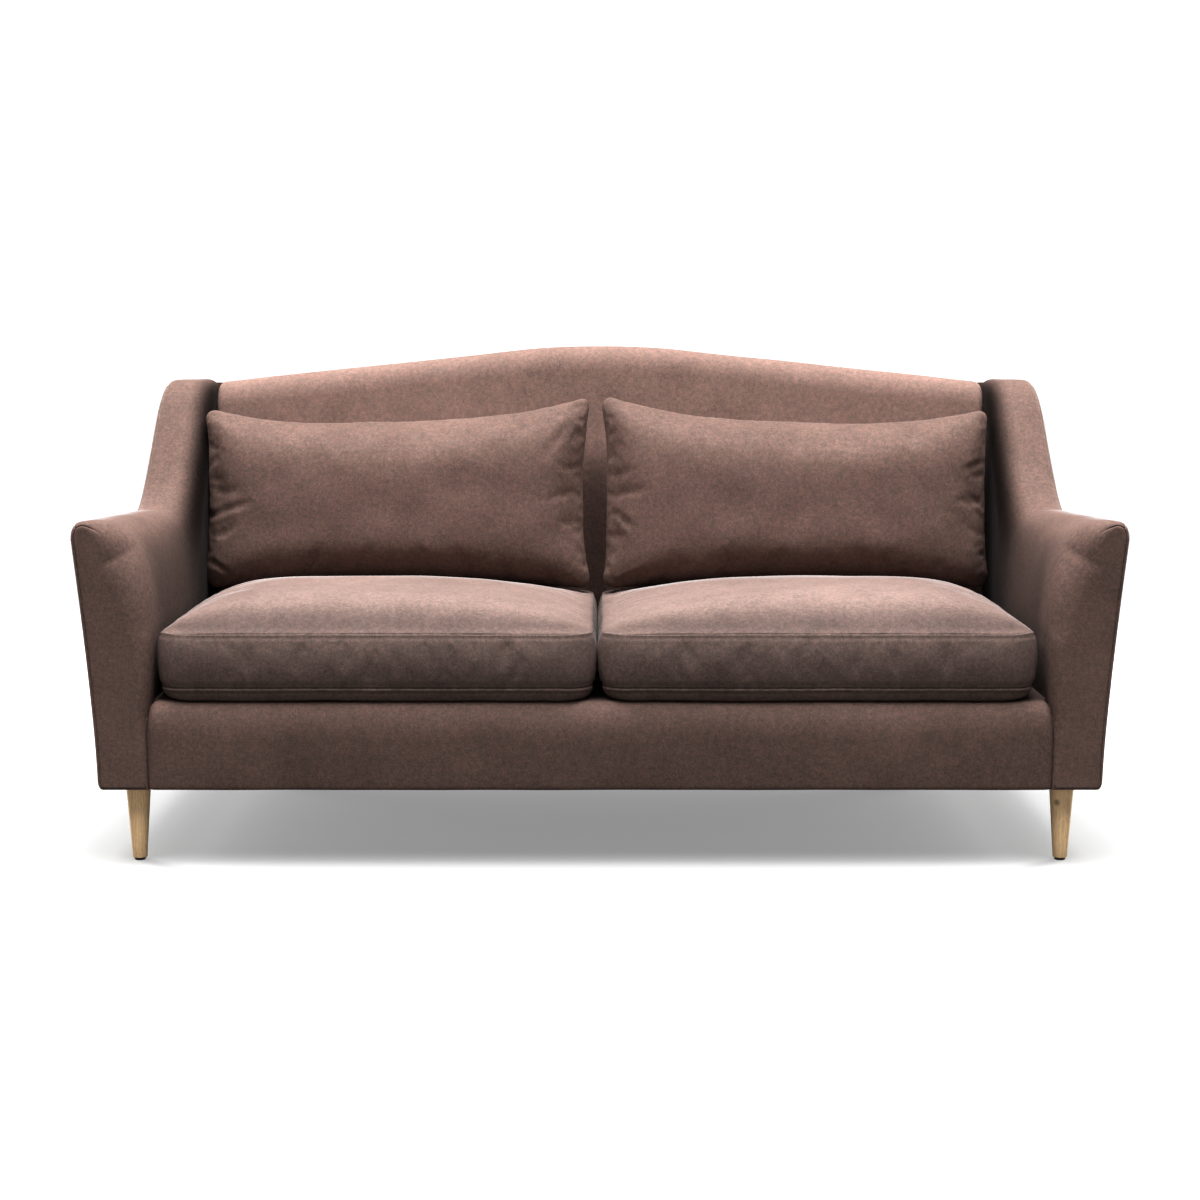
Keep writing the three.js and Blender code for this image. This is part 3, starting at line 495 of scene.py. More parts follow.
def border_piece():
    half = border_high.x + border_overlap
    inner = half - border_corner_width
    ends = half - border_corner_width * (1 - np.sin(np.linspace(0, math.pi / 2, 12)))
    places = np.concatenate([ends[::-1], np.linspace(inner, -inner, 90)[1:-1], -ends])
    rows = []
    for x in places:
        out = max(abs(x) - inner, 0) / border_corner_width
        drop = border_corner_height * (1 - math.sqrt(max(1 - out * out, 0)))
        tuck = border_round * 0.8 * out ** 3
        low, high = border_low.z, border_high.z - drop
        crown = border_crown * (1 - (abs(x) / half) ** 8)
        front, back = depth_of_front + tuck, border_high.y - 0.001
        lip = depth_of_front + border_lip_depth
        top_start, under_top = front + border_top_round[0], high - border_lip_thickness
        outline = np.concatenate([
            straight((lip, low), (front + border_round / 2, low), 4),
            bend((front + border_round / 2, low), (front, low), (front, low + border_round / 2), 6),
            straight((front, low + border_round / 2), (front, high - border_top_round[1]), 22),
            bend((front, high - border_top_round[1]), (front, high), (top_start, high), 18),
            straight((top_start, high), (back, high), 6),
            [(back, high), (back, under_top), (lip, under_top), (lip, mix(low, high, 0.5))],
        ])
        rise = np.clip((outline[:, 1] - low) / (high - low), 0, 1)
        facing = np.clip((lip - outline[:, 0]) / (lip - front), 0, 1)
        outline[:, 0] -= crown * np.sin(rise * math.pi) ** 0.6 * facing
        rows.append([(x, y, z) for y, z in outline])
    return skin_over_rows("front_border_cover", rows, closed=True)


border = border_piece()
soften(border, 0.0007, 0.11, 3.0)
# Painted shade: the border's velvet is painted a little darker by its tone.
upholstered(border, ["front_border"],
            velvet_material("velvet_border", shift=(0.3, 0.1, 0.7), tone=0.95))

# Arms: a wadded velvet cover over each arm frame, flared outwards, with a big roll over its inner
# edge that shrinks as the top sweeps up to the back. The outside arm is a separate panel, sewn on
# just inside the outer edge, and the front face ends in a seam that fades out over the roll.
sofa_half = 0.95
sofa_depth = 0.9
arm_rear_half = 0.915
arm_foot_half = 0.912
flare_power = 1.35
arm_inner = 0.811
arm_inner_foot = 0.820
arm_belly = 0.400
arm_front_top = 0.629
arm_low_top = 0.612
arm_rear_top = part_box("arm_upholstery_right")[1].z
arm_rear_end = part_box("arm_upholstery_right")[1].y + 0.45
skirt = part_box("arm_upholstery_right")[0].z
sweep_start = 0.460
sweep_end = 0.800
tip_drop = 0.034
tip_width = 0.025
front_top_flat = 0.002
rear_top_flat = 0.033
front_roll_drop = 0.199
rear_roll_drop = 0.060
foot_round = (0.010, 0.020)
edge_radius = 0.013
roll_edge_radius = 0.072
face_end_room = 0.020
face_top_room = 0.045
inner_edge_radius = 0.034
foot_edge_radius = 0.007
cover_thickness = 0.004
hidden_depth = 0.045
seam_depth = 0.0026
seam_share = 0.53
seam_inset = 0.007
seam_end_share = 0.20
arm_belly_bend, arm_belly_end = 0.33, 0.27
# Painted shade on the inner side of the arms: how far in and how high it reaches, and how much darker it is
# at the front and at the rear.
painted_shade_inside = (0.816, 0.862)
painted_shade_heights = (0.83, 0.915)
painted_shade_front, painted_shade_front_places = 0.42, (-0.42, -0.30)
painted_shade_rear, painted_shade_rear_places = 0.5, (-0.12, 0.12)


def arm_top(depth):
    fall = min(depth / sweep_start, 1)
    sweep = float(smooth_share(sweep_start, sweep_end, depth))
    return mix(arm_front_top, arm_low_top, fall) + (arm_rear_top - arm_low_top) * sweep


def arm_tip(depth):
    return mix(sofa_half, arm_rear_half, max(depth - edge_radius, 0) / (sofa_depth - edge_radius))


seam_gap_shares = (0, 0.018, 0.042)
tip_shares = sorted(
    {share for share in np.linspace(0, 0.94, 12) if abs(share - seam_share) > 0.06}
    | {seam_share + side * gap for gap in seam_gap_shares for side in (-1, 1)}
)
arm_parts = (("underside", 10), ("foot", 6), ("side", 30), ("tip", len(tip_shares)), ("top", 3),
             ("roll", 34), ("inner", 6), ("belly", 10), ("low", 10))
arm_steps = dict(arm_parts)
arm_starts = dict(zip(arm_steps, np.cumsum([0, *arm_steps.values()])))
arm_count = sum(arm_steps.values())
seam_index = arm_starts["tip"] + tip_shares.index(seam_share)


def arm_section(depth):
    """The right arm's outline at a depth, from under its inner foot, round and back to there."""
    top, tip = arm_top(depth), arm_tip(depth)
    share = float(smooth_share(sweep_start / 2, sweep_end, depth))
    top_flat = mix(front_top_flat, rear_top_flat, share)
    roll_drop = mix(front_roll_drop, rear_roll_drop, share)
    foot, shoulder = np.array((arm_foot_half, skirt)), np.array((tip, top - tip_drop))
    foot_start = (foot[0] - foot_round[0], skirt)
    rise = np.linspace(foot_round[1] / (shoulder[1] - foot[1]), 1, arm_steps["side"] + 1)
    side = np.stack([mix(foot[0], tip, rise ** flare_power), mix(foot[1], shoulder[1], rise)], axis=1)
    roll_start, roll_end = (tip - tip_width - top_flat, top), (arm_inner, top - roll_drop)
    belly_end = (arm_inner_foot, arm_belly_end)
    return np.concatenate([
        straight((arm_inner_foot, skirt), foot_start, arm_steps["underside"]),
        bend(foot_start, foot, side[0], arm_steps["foot"]),
        side[:-1],
        bend(shoulder, (tip, top), (tip - tip_width, top), tip_shares),
        straight((tip - tip_width, top), roll_start, arm_steps["top"]),
        bend(roll_start, (arm_inner, top), roll_end, arm_steps["roll"]),
        straight(roll_end, (arm_inner, arm_belly), arm_steps["inner"]),
        bend((arm_inner, arm_belly), (arm_inner, arm_belly_bend), belly_end, arm_steps["belly"]),
        straight(belly_end, (arm_inner_foot, skirt), arm_steps["low"]),
    ])


def inward(outline):
    """The direction into a closed outline at each of its points."""
    along = np.roll(outline, -1, axis=0) - np.roll(outline, 1, axis=0)
    along /= np.linalg.norm(along, axis=1)[:, None]
    return np.stack([-along[:, 1], along[:, 0]], axis=1)


def arm_edge_radii():
    knots = [
        (0, foot_edge_radius), (arm_starts["foot"], foot_edge_radius),
        (arm_starts["side"] + 4, edge_radius), (arm_starts["top"] + 3, edge_radius),
        (arm_starts["roll"] + 17, roll_edge_radius), (arm_starts["inner"] + 3, inner_edge_radius),
        (arm_starts["low"], inner_edge_radius * 0.7), (arm_count, foot_edge_radius),
    ]
    indices, radii = zip(*knots)
    return np.interp(np.arange(arm_count), indices, radii)


def arm_rows():
    radii = arm_edge_radii()[:, None]
    front = arm_section(0)
    lowest = (arm_inner_foot + foot_edge_radius, skirt + foot_edge_radius)
    face_edge = np.maximum(front + inward(front) * radii, lowest)
    heights = np.clip(face_edge[:, 1], skirt + face_end_room, arm_front_top - face_top_room)
    outer_side = face_edge[arm_starts["foot"]:arm_starts["top"]]
    inner_side = face_edge[arm_starts["roll"]:][::-1]
    middles = [np.interp(heights, side[:, 1], side[:, 0]) for side in (outer_side, inner_side)]
    spine = np.stack([sum(middles) / 2, heights], axis=1)
    rows, marks = [], []
    for share in (0.25, 0.08):
        ring = mix(face_edge, spine, share)
        rows.append([(x, 0.0, z) for x, z in ring])
        marks.append(-1)
    seam_angle = math.asin(1 - seam_inset / edge_radius)
    around = [0, 0.14, 0.28, seam_angle - 0.1, seam_angle - 0.045, seam_angle, seam_angle + 0.045,
              seam_angle + 0.1, 0.72, 0.9, 1.1, 1.3, math.pi / 2]
    for angle in around:
        ring = mix(face_edge, front, math.sin(angle))
        back = radii[:, 0] * (1 - math.cos(angle))
        rows.append([(x, depth, z) for (x, z), depth in zip(ring, back)])
        marks.append(angle)
    depths = np.concatenate([
        np.linspace(roll_edge_radius * 1.1, sweep_start - 0.03, 22)[:-1],
        np.linspace(sweep_start - 0.03, sweep_end, 34),
        [mix(sweep_end, arm_rear_end, 0.5), arm_rear_end],
    ])
    for depth in depths:
        rows.append([(x, depth, z) for x, z in arm_section(depth)])
        marks.append(math.pi / 2 + depth)
    points = np.array(rows)
    points[:, :, 1] += depth_of_front
    return points, marks, seam_angle


def arm_pieces():
    points, marks, seam_angle = arm_rows()
    rows, count = points.shape[:2]
    across = np.interp(np.abs(np.arange(count) - seam_index), (0, 1, 2, 3), (1, 0.45, 0.1, 0))
    edge = np.interp(np.abs(np.array(marks) - seam_angle), (0, 0.045, 0.1, 0.16), (1, 0.45, 0.1, 0))
    seam_row = marks.index(seam_angle)
    fade_start = arm_starts["roll"]
    fade_end = fade_start + int(arm_steps["roll"] * seam_end_share)
    reach = np.interp(np.arange(count), (fade_start, fade_end), (1, 0))
    groove = edge[:, None] * reach[None, :]
    groove[seam_row:] = np.maximum(groove[seam_row:], across[None, :])
    data = bpy.data.meshes.new("arm_cover_right")
    faces, outside = [], []
    for row in range(rows - 1):
        for i in range(count):
            a, b = row * count + i, row * count + (i + 1) % count
            under = 0 < i < arm_starts["foot"] - 1
            behind = points[row, i, 1] > depth_of_front + hidden_depth
            if behind and (under or i >= arm_starts["low"] - 1):
                continue
            faces.append((a, b, b + count, a + count))
            outside.append(row >= seam_row and i < seam_index)
    faces.append(tuple(range(count)))
    outside.append(False)
    data.from_pydata(points.reshape(-1, 3).tolist(), [], faces)
    mesh = bmesh.new()
    mesh.from_mesh(data)
    bmesh.ops.recalc_face_normals(mesh, faces=mesh.faces)
    mesh.normal_update()
    drawn_in = [vertex.normal * weight * -seam_depth
                for vertex, weight in zip(mesh.verts, groove.reshape(-1))]
    mesh.to_mesh(data)
    mesh.free()
    data.attributes.new("seam", "FLOAT_VECTOR", "POINT").data.foreach_set("vector", np.ravel(drawn_in))
    cover = linked("arm_cover_right", data)
    soften(cover, 0.0011, 0.13, 5.0, lambda place: smooth_share(0.001, 0.05, place.y - depth_of_front))
    only(cover)
    bpy.ops.object.mode_set(mode="EDIT")
    bpy.ops.mesh.select_all(action="DESELECT")
    bpy.ops.mesh.select_mode(type="FACE")
    mesh = bmesh.from_edit_mesh(data)
    for face, is_outside in zip(mesh.faces, outside):
        face.select_set(bool(is_outside))
    bmesh.update_edit_mesh(data)
    bpy.ops.mesh.separate(type="SELECTED")
    bpy.ops.object.mode_set(mode="OBJECT")
    panel = next(piece for piece in bpy.context.selected_objects if piece != cover)
    panel.name = "outside_arm_right"
    for piece in (cover, panel):
        edit_all(piece, bpy.ops.mesh.delete_loose)
        apply_modifier(piece, "SOLIDIFY", thickness=cover_thickness, offset=-1)
        seam = piece.data.attributes["seam"]
        for vertex, shift in zip(piece.data.vertices, seam.data):
            vertex.co += shift.vector
        piece.data.attributes.remove(seam)
        bpy.ops.object.shade_smooth_by_angle(angle=math.radians(60))
    return cover, panel


def duplicate(piece, name):
    copy = piece.copy()
    copy.data = piece.data.copy()
    copy.name = name
    scene.collection.objects.link(copy)
    return copy


def mirrored(piece, name):
    copy = duplicate(piece, name)
    copy.scale.x = -1
    place_in_mesh(copy)
    edit_all(copy, bpy.ops.mesh.flip_normals)
    return copy


def arm_painted_shade(place):
    """Painted shade on the inner side below the roll: its colour is darkened, most of all towards the rear.
    """
    inside = smooth_share(-painted_shade_inside[1], -painted_shade_inside[0], -abs(place.x))
    below_top = smooth_share(-painted_shade_heights[1], -painted_shade_heights[0], -place.z)
    return inside * below_top * (painted_shade_front * smooth_share(*painted_shade_front_places, place.y)
                                 + painted_shade_rear * smooth_share(*painted_shade_rear_places, place.y))


arm_cover, arm_panel = arm_pieces()
# Painted light: the arms' velvet is painted a little lighter by its tone.
arm_velvet = velvet_material("velvet_arms", shift=(0.9, 0.4, 0.2), tone=1.04)
for cover, panel, side in (
    (mirrored(arm_cover, "arm_cover_left"), mirrored(arm_panel, "outside_arm_left"), "left"),
    (arm_cover, arm_panel, "right"),
):
    # Painted shade on the inner side of each arm.
    paint_shade(cover, arm_painted_shade)
    upholstered(cover, [f"arm_upholstery_{side}"], arm_velvet)
    upholstered(panel, [f"outside_arm_panel_{side}"], arm_velvet)

# Inside back: velvet over a thick pad on the raked camel-shaped frame. Its top edge is rolled
# over the top rail, and its ends are rounded off beside the arms, where a dark gap shows.
sofa_height = 0.932
seat_depth = 0.705
deck_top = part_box("seat_deck")[1].z
rake = math.radians(7.6)
camel_half = 0.797
camel_drop = 0.075
camel_crown_half = 0.185
back_low, back_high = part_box("inside_back")
back_end_round = 0.015
back_top_width = 0.042
back_top_drop = 0.052
back_rear_round = 0.028
back_wadding = 0.018
back_cover_half = 0.8104
back_rear_lap = 0.1


def camel_top(x):
    slope = camel_drop / (camel_half - camel_crown_half / 2)
    out = abs(x)
    crown = min(out, camel_crown_half)
    return sofa_height - slope * (crown ** 2 / camel_crown_half / 2 + out - crown)


def back_face(height):
    return depth_of_front + seat_depth + (height - deck_top) * math.tan(rake)


def back_section(x):
    top, rear = camel_top(x), back_high.y
    shoulder = (back_face(top - back_top_drop), top - back_top_drop)
    crest, rear_crest = (back_face(top) + back_top_width, top), (rear - back_rear_round, top)
    return np.concatenate([
        straight((back_face(back_low.z), back_low.z), shoulder, 40),
        bend(shoulder, (back_face(top), top), crest, 20),
        straight(crest, rear_crest, 5),
        bend(rear_crest, (rear, top), (rear, top - back_rear_round), 10),
        straight((rear, top - back_rear_round), (rear, top - back_rear_lap), 6),
    ])


def inside_back_piece():
    half = back_cover_half
    angles = np.linspace(0, math.pi / 2, 12)
    places = [(half - back_end_round * (1 - math.cos(angle)), back_end_round * (1 - math.sin(angle)))
              for angle in angles]
    inner = np.linspace(half - back_end_round, -half + back_end_round, 120)[1:-1]
    places += [(x, 0) for x in inner] + [(-x, inset) for x, inset in reversed(places)]
    rows = []
    for x, inset in places:
        outline = back_section(x)
        along = np.gradient(outline, axis=0)
        along /= np.linalg.norm(along, axis=1)[:, None]
        outline += np.stack([along[:, 1], -along[:, 0]], axis=1) * inset
        rows.append([(x, y, z) for y, z in outline])
    return skin_over_rows("inside_back_cover", rows, closed=False)


inside_back = inside_back_piece()
soften(inside_back, 0.0016, 0.16, 9.0)
apply_modifier(inside_back, "SOLIDIFY", thickness=back_wadding, offset=-1)
bpy.ops.object.shade_smooth_by_angle(angle=math.radians(60))
# Painted light: the inside back's velvet is painted much lighter by its tone.
upholstered(inside_back, ["inside_back"],
            velvet_material("velvet_back", shift=(0.5, 0.8, 0.1), tone=1.5))

# Outside back: one flat panel of velvet on thin wadding, cut to the arms and the camel line, and
# tacked down over the back of the frame. Its edges are turned in just inside the outline.
panel_edge = 0.008
panel_low, panel_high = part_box("outside_back_panel")
panel_round = 0.006
panel_tuck = 0.0005
arm_shoulder = arm_rear_half - panel_edge


def spread(count):
    """Shares from -1 to 1, closer together towards the edges."""
    return np.sin((np.arange(count + 1) / count - 0.5) * math.pi)


def two_faced(name, place, columns, rows):
    """A closed mesh of a front and a rear face that meet in one edge: place(s, t, side) gives points,
    with s and t from -1 to 1."""
    points, faces = [], []
    for side in (-1, 1):
        base = len(points)
        points += [place(s, t, side) for t in spread(rows) for s in spread(columns)]
        for row in range(rows):
            for column in range(columns):
                a = base + row * (columns + 1) + column
                b = a + columns + 1
                faces.append((a, a + 1, b + 1, b))
    return skin(name, points, faces)


def outside_back_top(x):
    out = abs(x)
    if out < back_high.x:
        return camel_top(x) - panel_edge
    tip = max(out - (arm_shoulder - tip_width), 0) / tip_width
    return arm_rear_top - panel_edge - (tip_drop - panel_edge) * (1 - math.sqrt(max(1 - tip * tip, 0)))


def outside_back_place(s, t, side):
    top = outside_back_top(s * arm_shoulder)
    z = mix(panel_low.z, top, (t + 1) / 2)
    half = mix(arm_foot_half - panel_edge, arm_shoulder, (z - panel_low.z) / (arm_rear_top - panel_low.z))
    x = s * half
    inside = min((1 - abs(s)) * half, (1 - abs(t)) * (top - panel_low.z) / 2)
    turned = 1 - math.sqrt(max(1 - (1 - min(inside / panel_round, 1)) ** 2, 0))
    front = panel_low.y + panel_tuck
    return x, front if side < 0 else mix(panel_high.y, front, turned), z


outside_back = two_faced("outside_back_cover", outside_back_place, 150, 60)
soften(outside_back, 0.0006, 0.22, 12.0)
upholstered(outside_back, ["outside_back_panel"],
            velvet_material("velvet_outside_back", shift=(0.2, 0.5, 0.4)))

# Seat cushions: two boxed velvet covers over foam with a soft wrap, crowned on top and flat
# below. The panels meet in plain seams, without piping, and a zip runs along the rear border.
cushion_gap = 0.006
gap_offset = -0.005
seat_low, seat_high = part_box("seat_cushion_cover_right")
seat_size = seat_high - seat_low
seat_corner = 0.052
seat_drawn = 0.006
low_seam = 0.026
high_seam = 0.125
seat_crown = 0.060
crown_peak = 0.290
crown_end = 0.640
crown_powers = (5.0, 2.4)
crown_front_power = 4.6
crown_rear_power = 3.0
seat_seam_depth = 0.0032
seat_start = 0.9
around_count = 520
seam_steps = (-0.006, -0.003, -0.0016, -0.0007, 0, 0.0007, 0.0016, 0.003, 0.006)
seam_pull = (0, -0.14, 0.06, 0.6, 1, 0.7, 0.25, 0.05, 0)
seam_hold = 0.010
seat_base_hold = 0.006
edge_room = 0.03
# Painted shade on the seat cushions: how much darker the boxing and the front of the top are painted.
painted_shade_boxing, painted_shade_edge = 0.26, 0.46
painted_shade_edge_places = (0.345, 0.42)


def rounded_outline(half_x, half_y, radius, count):
    """A rectangle with round corners, as evenly spaced points."""
    corners = [(1, 1), (-1, 1), (-1, -1), (1, -1)]
    points = []
    for quarter, (sx, sy) in enumerate(corners):
        for step in range(17):
            angle = (quarter + step / 16) * math.pi / 2
            points.append((sx * (half_x - radius) + radius * math.cos(angle),
                           sy * (half_y - radius) + radius * math.sin(angle)))
    points = np.array(points + points[:1])
    lengths = np.concatenate([[0], np.cumsum(np.linalg.norm(np.diff(points, axis=0), axis=1))])
    at = np.arange(count) / count * lengths[-1]
    return np.stack([np.interp(at, lengths, points[:, axis]) for axis in (0, 1)], axis=1)


def crown_share(x, y):
    """How much of the crown stands at a place on the right cushion, outer side at +X, front at -Y."""
    centre = crown_peak - (seat_low.y - depth_of_front) - seat_size.y / 2
    across = np.minimum(np.abs(x) / (seat_size.x / 2 - seat_drawn), 1)
    power = np.where(x > 0, crown_powers[0], crown_powers[1])
    run = np.where(y < centre, seat_size.y / 2 + centre - seat_drawn, crown_end - crown_peak)
    along = np.minimum(np.abs(y - centre) / run, 1)
    along_power = np.where(y < centre, crown_front_power, crown_rear_power)
    return (1 - across ** power) * (1 - along ** along_power)


def seat_rows():
    half_x, half_y = seat_size.x / 2, seat_size.y / 2
    rows, groove = [], []

    def shrink(lost):
        return rounded_outline(half_x - lost, half_y - lost, seat_corner - lost, around_count)

    def add(ring, heights, pull=0.0):
        rows.append(np.column_stack([ring, np.broadcast_to(heights, len(ring))]))
        groove.append(pull)

    drawn = shrink(seat_drawn)
    for share in (0.02, 0.2, 0.4, 0.6, 0.75, 0.85, 0.92):
        add(drawn * share, 0.0)
    for angle in np.linspace(0.2, 1.35, 6):
        add(mix(drawn * 0.94, drawn, math.sin(angle)), low_seam * (1 - math.cos(angle)))
    for step, pull in zip(seam_steps, seam_pull):
        add(drawn, low_seam + step, pull)
    for share in np.linspace(0.1, 0.9, 16):
        swell = math.sin(share * math.pi) ** 0.7
        add(shrink(seat_drawn * (1 - swell)), mix(low_seam, high_seam, share))
    for step, pull in zip(seam_steps, seam_pull):
        lost = max(step, 0)
        ring = drawn * (1 - lost * 2.2)
        add(ring, high_seam + min(step, 0) + seat_crown * seat_start * crown_share(*ring.T), pull)
    for share in np.concatenate([np.linspace(0.975, 0.8, 16), np.linspace(0.78, 0.02, 52)]):
        ring = drawn * share
        add(ring, high_seam + seat_crown * seat_start * crown_share(*ring.T))
    return rows, groove


def point_tree(points):
    tree = kdtree.KDTree(len(points))
    for index, point in enumerate(points):
        tree.insert(point, index)
    tree.balance()
    return tree


def inflated(piece, voxel, held, reach, excess, pressure=4.0, steps=20, near_count=5):
    """Blows a coarser copy of the piece up as cloth, and carries its movement over to the piece."""
    copy = duplicate(piece, "blown_up")
    apply_modifier(copy, "REMESH", mode="VOXEL", voxel_size=voxel)
    apply_modifier(copy, "SMOOTH", factor=0.5, iterations=4)
    rest = np.array([vertex.co for vertex in copy.data.vertices])
    group = copy.vertex_groups.new(name="held")
    for index, point in enumerate(rest):
        weight = held(point)
        if weight > 0:
            group.add([index], weight, "REPLACE")
    settings = copy.modifiers.new("cloth", "CLOTH").settings
    settings.quality = 5
    settings.mass = 0.25
    settings.tension_stiffness = 12
    settings.compression_stiffness = 12
    settings.bending_stiffness = 0.6
    settings.use_pressure = True
    settings.uniform_pressure_force = pressure
    settings.shrink_min = -excess
    settings.effector_weights.gravity = 0
    settings.vertex_group_mass = "held"
    for step in range(1, steps + 1):
        scene.frame_set(step)
    done = copy.evaluated_get(bpy.context.evaluated_depsgraph_get())
    moves = np.array([vertex.co for vertex in done.data.vertices]) - rest
    lengths = np.linalg.norm(moves, axis=1)[:, None] + 1e-9
    moves *= reach * np.tanh(lengths / reach) / lengths
    tree = point_tree(rest)
    for vertex in piece.data.vertices:
        near = tree.find_n(vertex.co, near_count)
        weights = np.array([1 / (distance + voxel / 4) ** 2 for place, index, distance in near])
        move = weights @ moves[[index for place, index, distance in near]] / weights.sum()
        vertex.co += Vector(move)
    piece.data.update()
    bpy.data.objects.remove(copy)
    scene.frame_set(1)


def seat_piece(side, turn):
    rows, groove = seat_rows()
    middle = np.array([gap_offset + turn * (seat_size.x + cushion_gap) / 2,
                       (seat_low.y + seat_high.y) / 2, seat_low.z])
    placed = [row * (turn, 1, 1) + middle for row in rows]
    piece = skin_over_rows(f"seat_cushion_{side}", placed, closed=True)
    seam_weights = np.repeat(groove, around_count)
    if len(piece.data.vertices) != len(seam_weights):
        raise ValueError("the seat cushion's rows have merged")
    seams = (seat_low.z + low_seam, seat_low.z + high_seam)

    def held(point):
        edge = min(seat_size.x / 2 - abs(point[0] - middle[0]), seat_size.y / 2 - abs(point[1] - middle[1]))
        by_seam = min(abs(point[2] - height) for height in seams)
        if point[2] < seat_low.z + seat_base_hold:
            return 1.0
        return max(0.0, 1 - by_seam / seam_hold) if edge < edge_room else 0.0

    inflated(piece, 0.010, held, reach=0.008, excess=0.012)
    soften(piece, 0.0014, 0.09, 20.0 + turn)
    push_out(piece, -seam_weights * seat_seam_depth)
    return piece


def seat_painted_shade(place):
    """Painted shade: the colour is darkened on the boxing and along the front of the top."""
    above_seam = smooth_share(seat_low.z + high_seam - 0.004, seat_low.z + high_seam + 0.012, place.z)
    return mix(painted_shade_boxing, painted_shade_edge * smooth_share(*painted_shade_edge_places, -place.y), above_seam)


seats = {}
for side, turn in sides:
    seats[side] = seat_piece(side, turn)
    # Painted shade on the boxing and the front of the top.
    paint_shade(seats[side], seat_painted_shade)
    # Painted light: the seats' velvet is painted lighter by its tone and greyer by its saturation, for
    # their brightly lit tops.
    seat_velvet = velvet_material(
        f"velvet_seat_{side}", shift=(0.4 * turn, 0.9, 0.3), tone=1.34, saturation=0.84,
    )
    upholstered(seats[side], [f"seat_cushion_cover_{side}", f"seat_cushion_core_{side}"],
                seat_velvet, body=f"seat_cushion_{side}")

# Back pillows: two loose knife-edge pillows, plump with fibre, that lean on the inside back. Their
# sides are drawn in between eared corners, and the cloth creases at the lower ends.
pillow_middles = {"left": -0.4155, "right": 0.4035}
pillow_width = 0.803
pillow_height = 0.384
pillow_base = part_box("seat_cushion_cover_right")[0].z + high_seam - 0.0012
pillow_front_swell = 0.090
pillow_rear_swell = 0.096
pillow_outer_draw = 0.008
pillow_inner_draws = {"left": 0.021, "right": 0.013}
pillow_top_dip = 0.044
pillow_bottom_dip = 0.008
inner_ear_rise = 0.018
outer_ear_drop = 0.010
swell_power = 2.9
low_swell_power = 6.5
rear_swell_power = 7.0
swell_root = 0.5
ear_power = 3
ear_round = 0.030
pillow_start = 0.92
pucker_reach = 0.022
pucker_height = 0.0016
pucker_size = 0.016
pillow_seam_hold = 0.012
back_clearance = 0.0003


def pillow_frame(side):
    """Where a pillow's bottom seam has its middle, and its directions to the rear and up its face."""
    plane = pillow_rear_swell + back_clearance
    origin = Vector((pillow_middles[side], back_face(pillow_base) - plane * math.cos(rake),
                     pillow_base + plane * math.sin(rake)))
    rear = Vector((0, math.cos(rake), -math.sin(rake)))
    up = Vector((0, math.sin(rake), math.cos(rake)))
    return origin, rear, up


def crease(piece, origin, rear, up, start, end, width, depth):
    """Presses a soft fold into a pillow's face, between two places given as distances across and up."""
    start, end = np.array(start), np.array(end)
    run = end - start
    for vertex in piece.data.vertices:
        away = vertex.co - origin
        if away.dot(rear) > 0:
            continue
        place = np.array((away.x, away.dot(up))) - start
        share = np.clip(place @ run / (run @ run), 0, 1)
        distance = np.linalg.norm(place - run * share)
        ridge = distance / width
        if ridge < 3:
            fold = math.exp(-ridge * ridge) - 0.45 * math.exp(-(ridge - 1.5) ** 2 * 2)
            vertex.co += rear * depth * 0.6 * fold * math.sin(mix(0.25, 0.9, share) * math.pi)


def pillow_piece(side, turn, creases):
    origin, rear, up = pillow_frame(side)

    def round_ear(s, t):
        """Rounds the corners of the square from -1 to 1 that the pillow's places are given in."""
        rooms = ear_round * 2 / pillow_width, ear_round * 2 / pillow_height
        u, v = (max(abs(share) - 1 + room, 0) / room for share, room in zip((s, t), rooms))
        over = u * math.sqrt(1 - v * v / 2), v * math.sqrt(1 - u * u / 2)
        return (math.copysign(abs(share) + (moved - start) * room, share)
                for share, start, moved, room in zip((s, t), (u, v), over, rooms))

    def place(s, t, face):
        power = rear_swell_power if face > 0 else swell_power
        upright_power = max(power, low_swell_power) if t < 0 else power
        share = (max(1 - abs(s) ** power, 0) * max(1 - abs(t) ** upright_power, 0)) ** swell_root
        s, t = round_ear(s, t)
        sides, ends = 1 - abs(t) ** ear_power, 1 - abs(s) ** ear_power
        inwards = -s * turn
        draw = pillow_inner_draws[side] if inwards > 0 else pillow_outer_draw
        lift = mix(-outer_ear_drop, inner_ear_rise, (inwards + 1) / 2) if t > 0 else 0
        dip = -pillow_top_dip * ends + lift if t > 0 else pillow_bottom_dip * ends
        x = s * (pillow_width / 2 - draw * sides)
        z = pillow_height / 2 * (1 + t) + dip * t * t
        swell = -pillow_front_swell * pillow_start if face < 0 else pillow_rear_swell * pillow_start
        return Vector((origin.x + x, origin.y, origin.z)) + rear * swell * share + up * z

    piece = two_faced(f"back_pillow_{side}", place, 170, 100)
    edge_points = [place(s, t, 1) for s in np.linspace(-1, 1, 120) for t in (-1, 1)]
    edge_points += [place(s, t, 1) for t in np.linspace(-1, 1, 60) for s in (-1, 1)]
    tree = point_tree(edge_points)

    def held(point):
        return max(0.0, 1 - tree.find(point)[2] / pillow_seam_hold)

    rims = [math.exp(-tree.find(vertex.co)[2] / pucker_reach) for vertex in piece.data.vertices]
    inflated(piece, 0.008, held, reach=0.015, excess=0.018)
    soften(piece, 0.0026, 0.075, 30.0 + turn)
    push_out(piece, [
        noise.noise(Vector((vertex.co.x / pucker_size, turn, vertex.co.z / pucker_size)))
        * pucker_height * rim * (1 - rim) * 4
        for vertex, rim in zip(piece.data.vertices, rims)
    ])
    for start, end, width, depth in creases:
        crease(piece, origin, rear, up, start, end, width, depth)
    piece.data.update()
    return piece


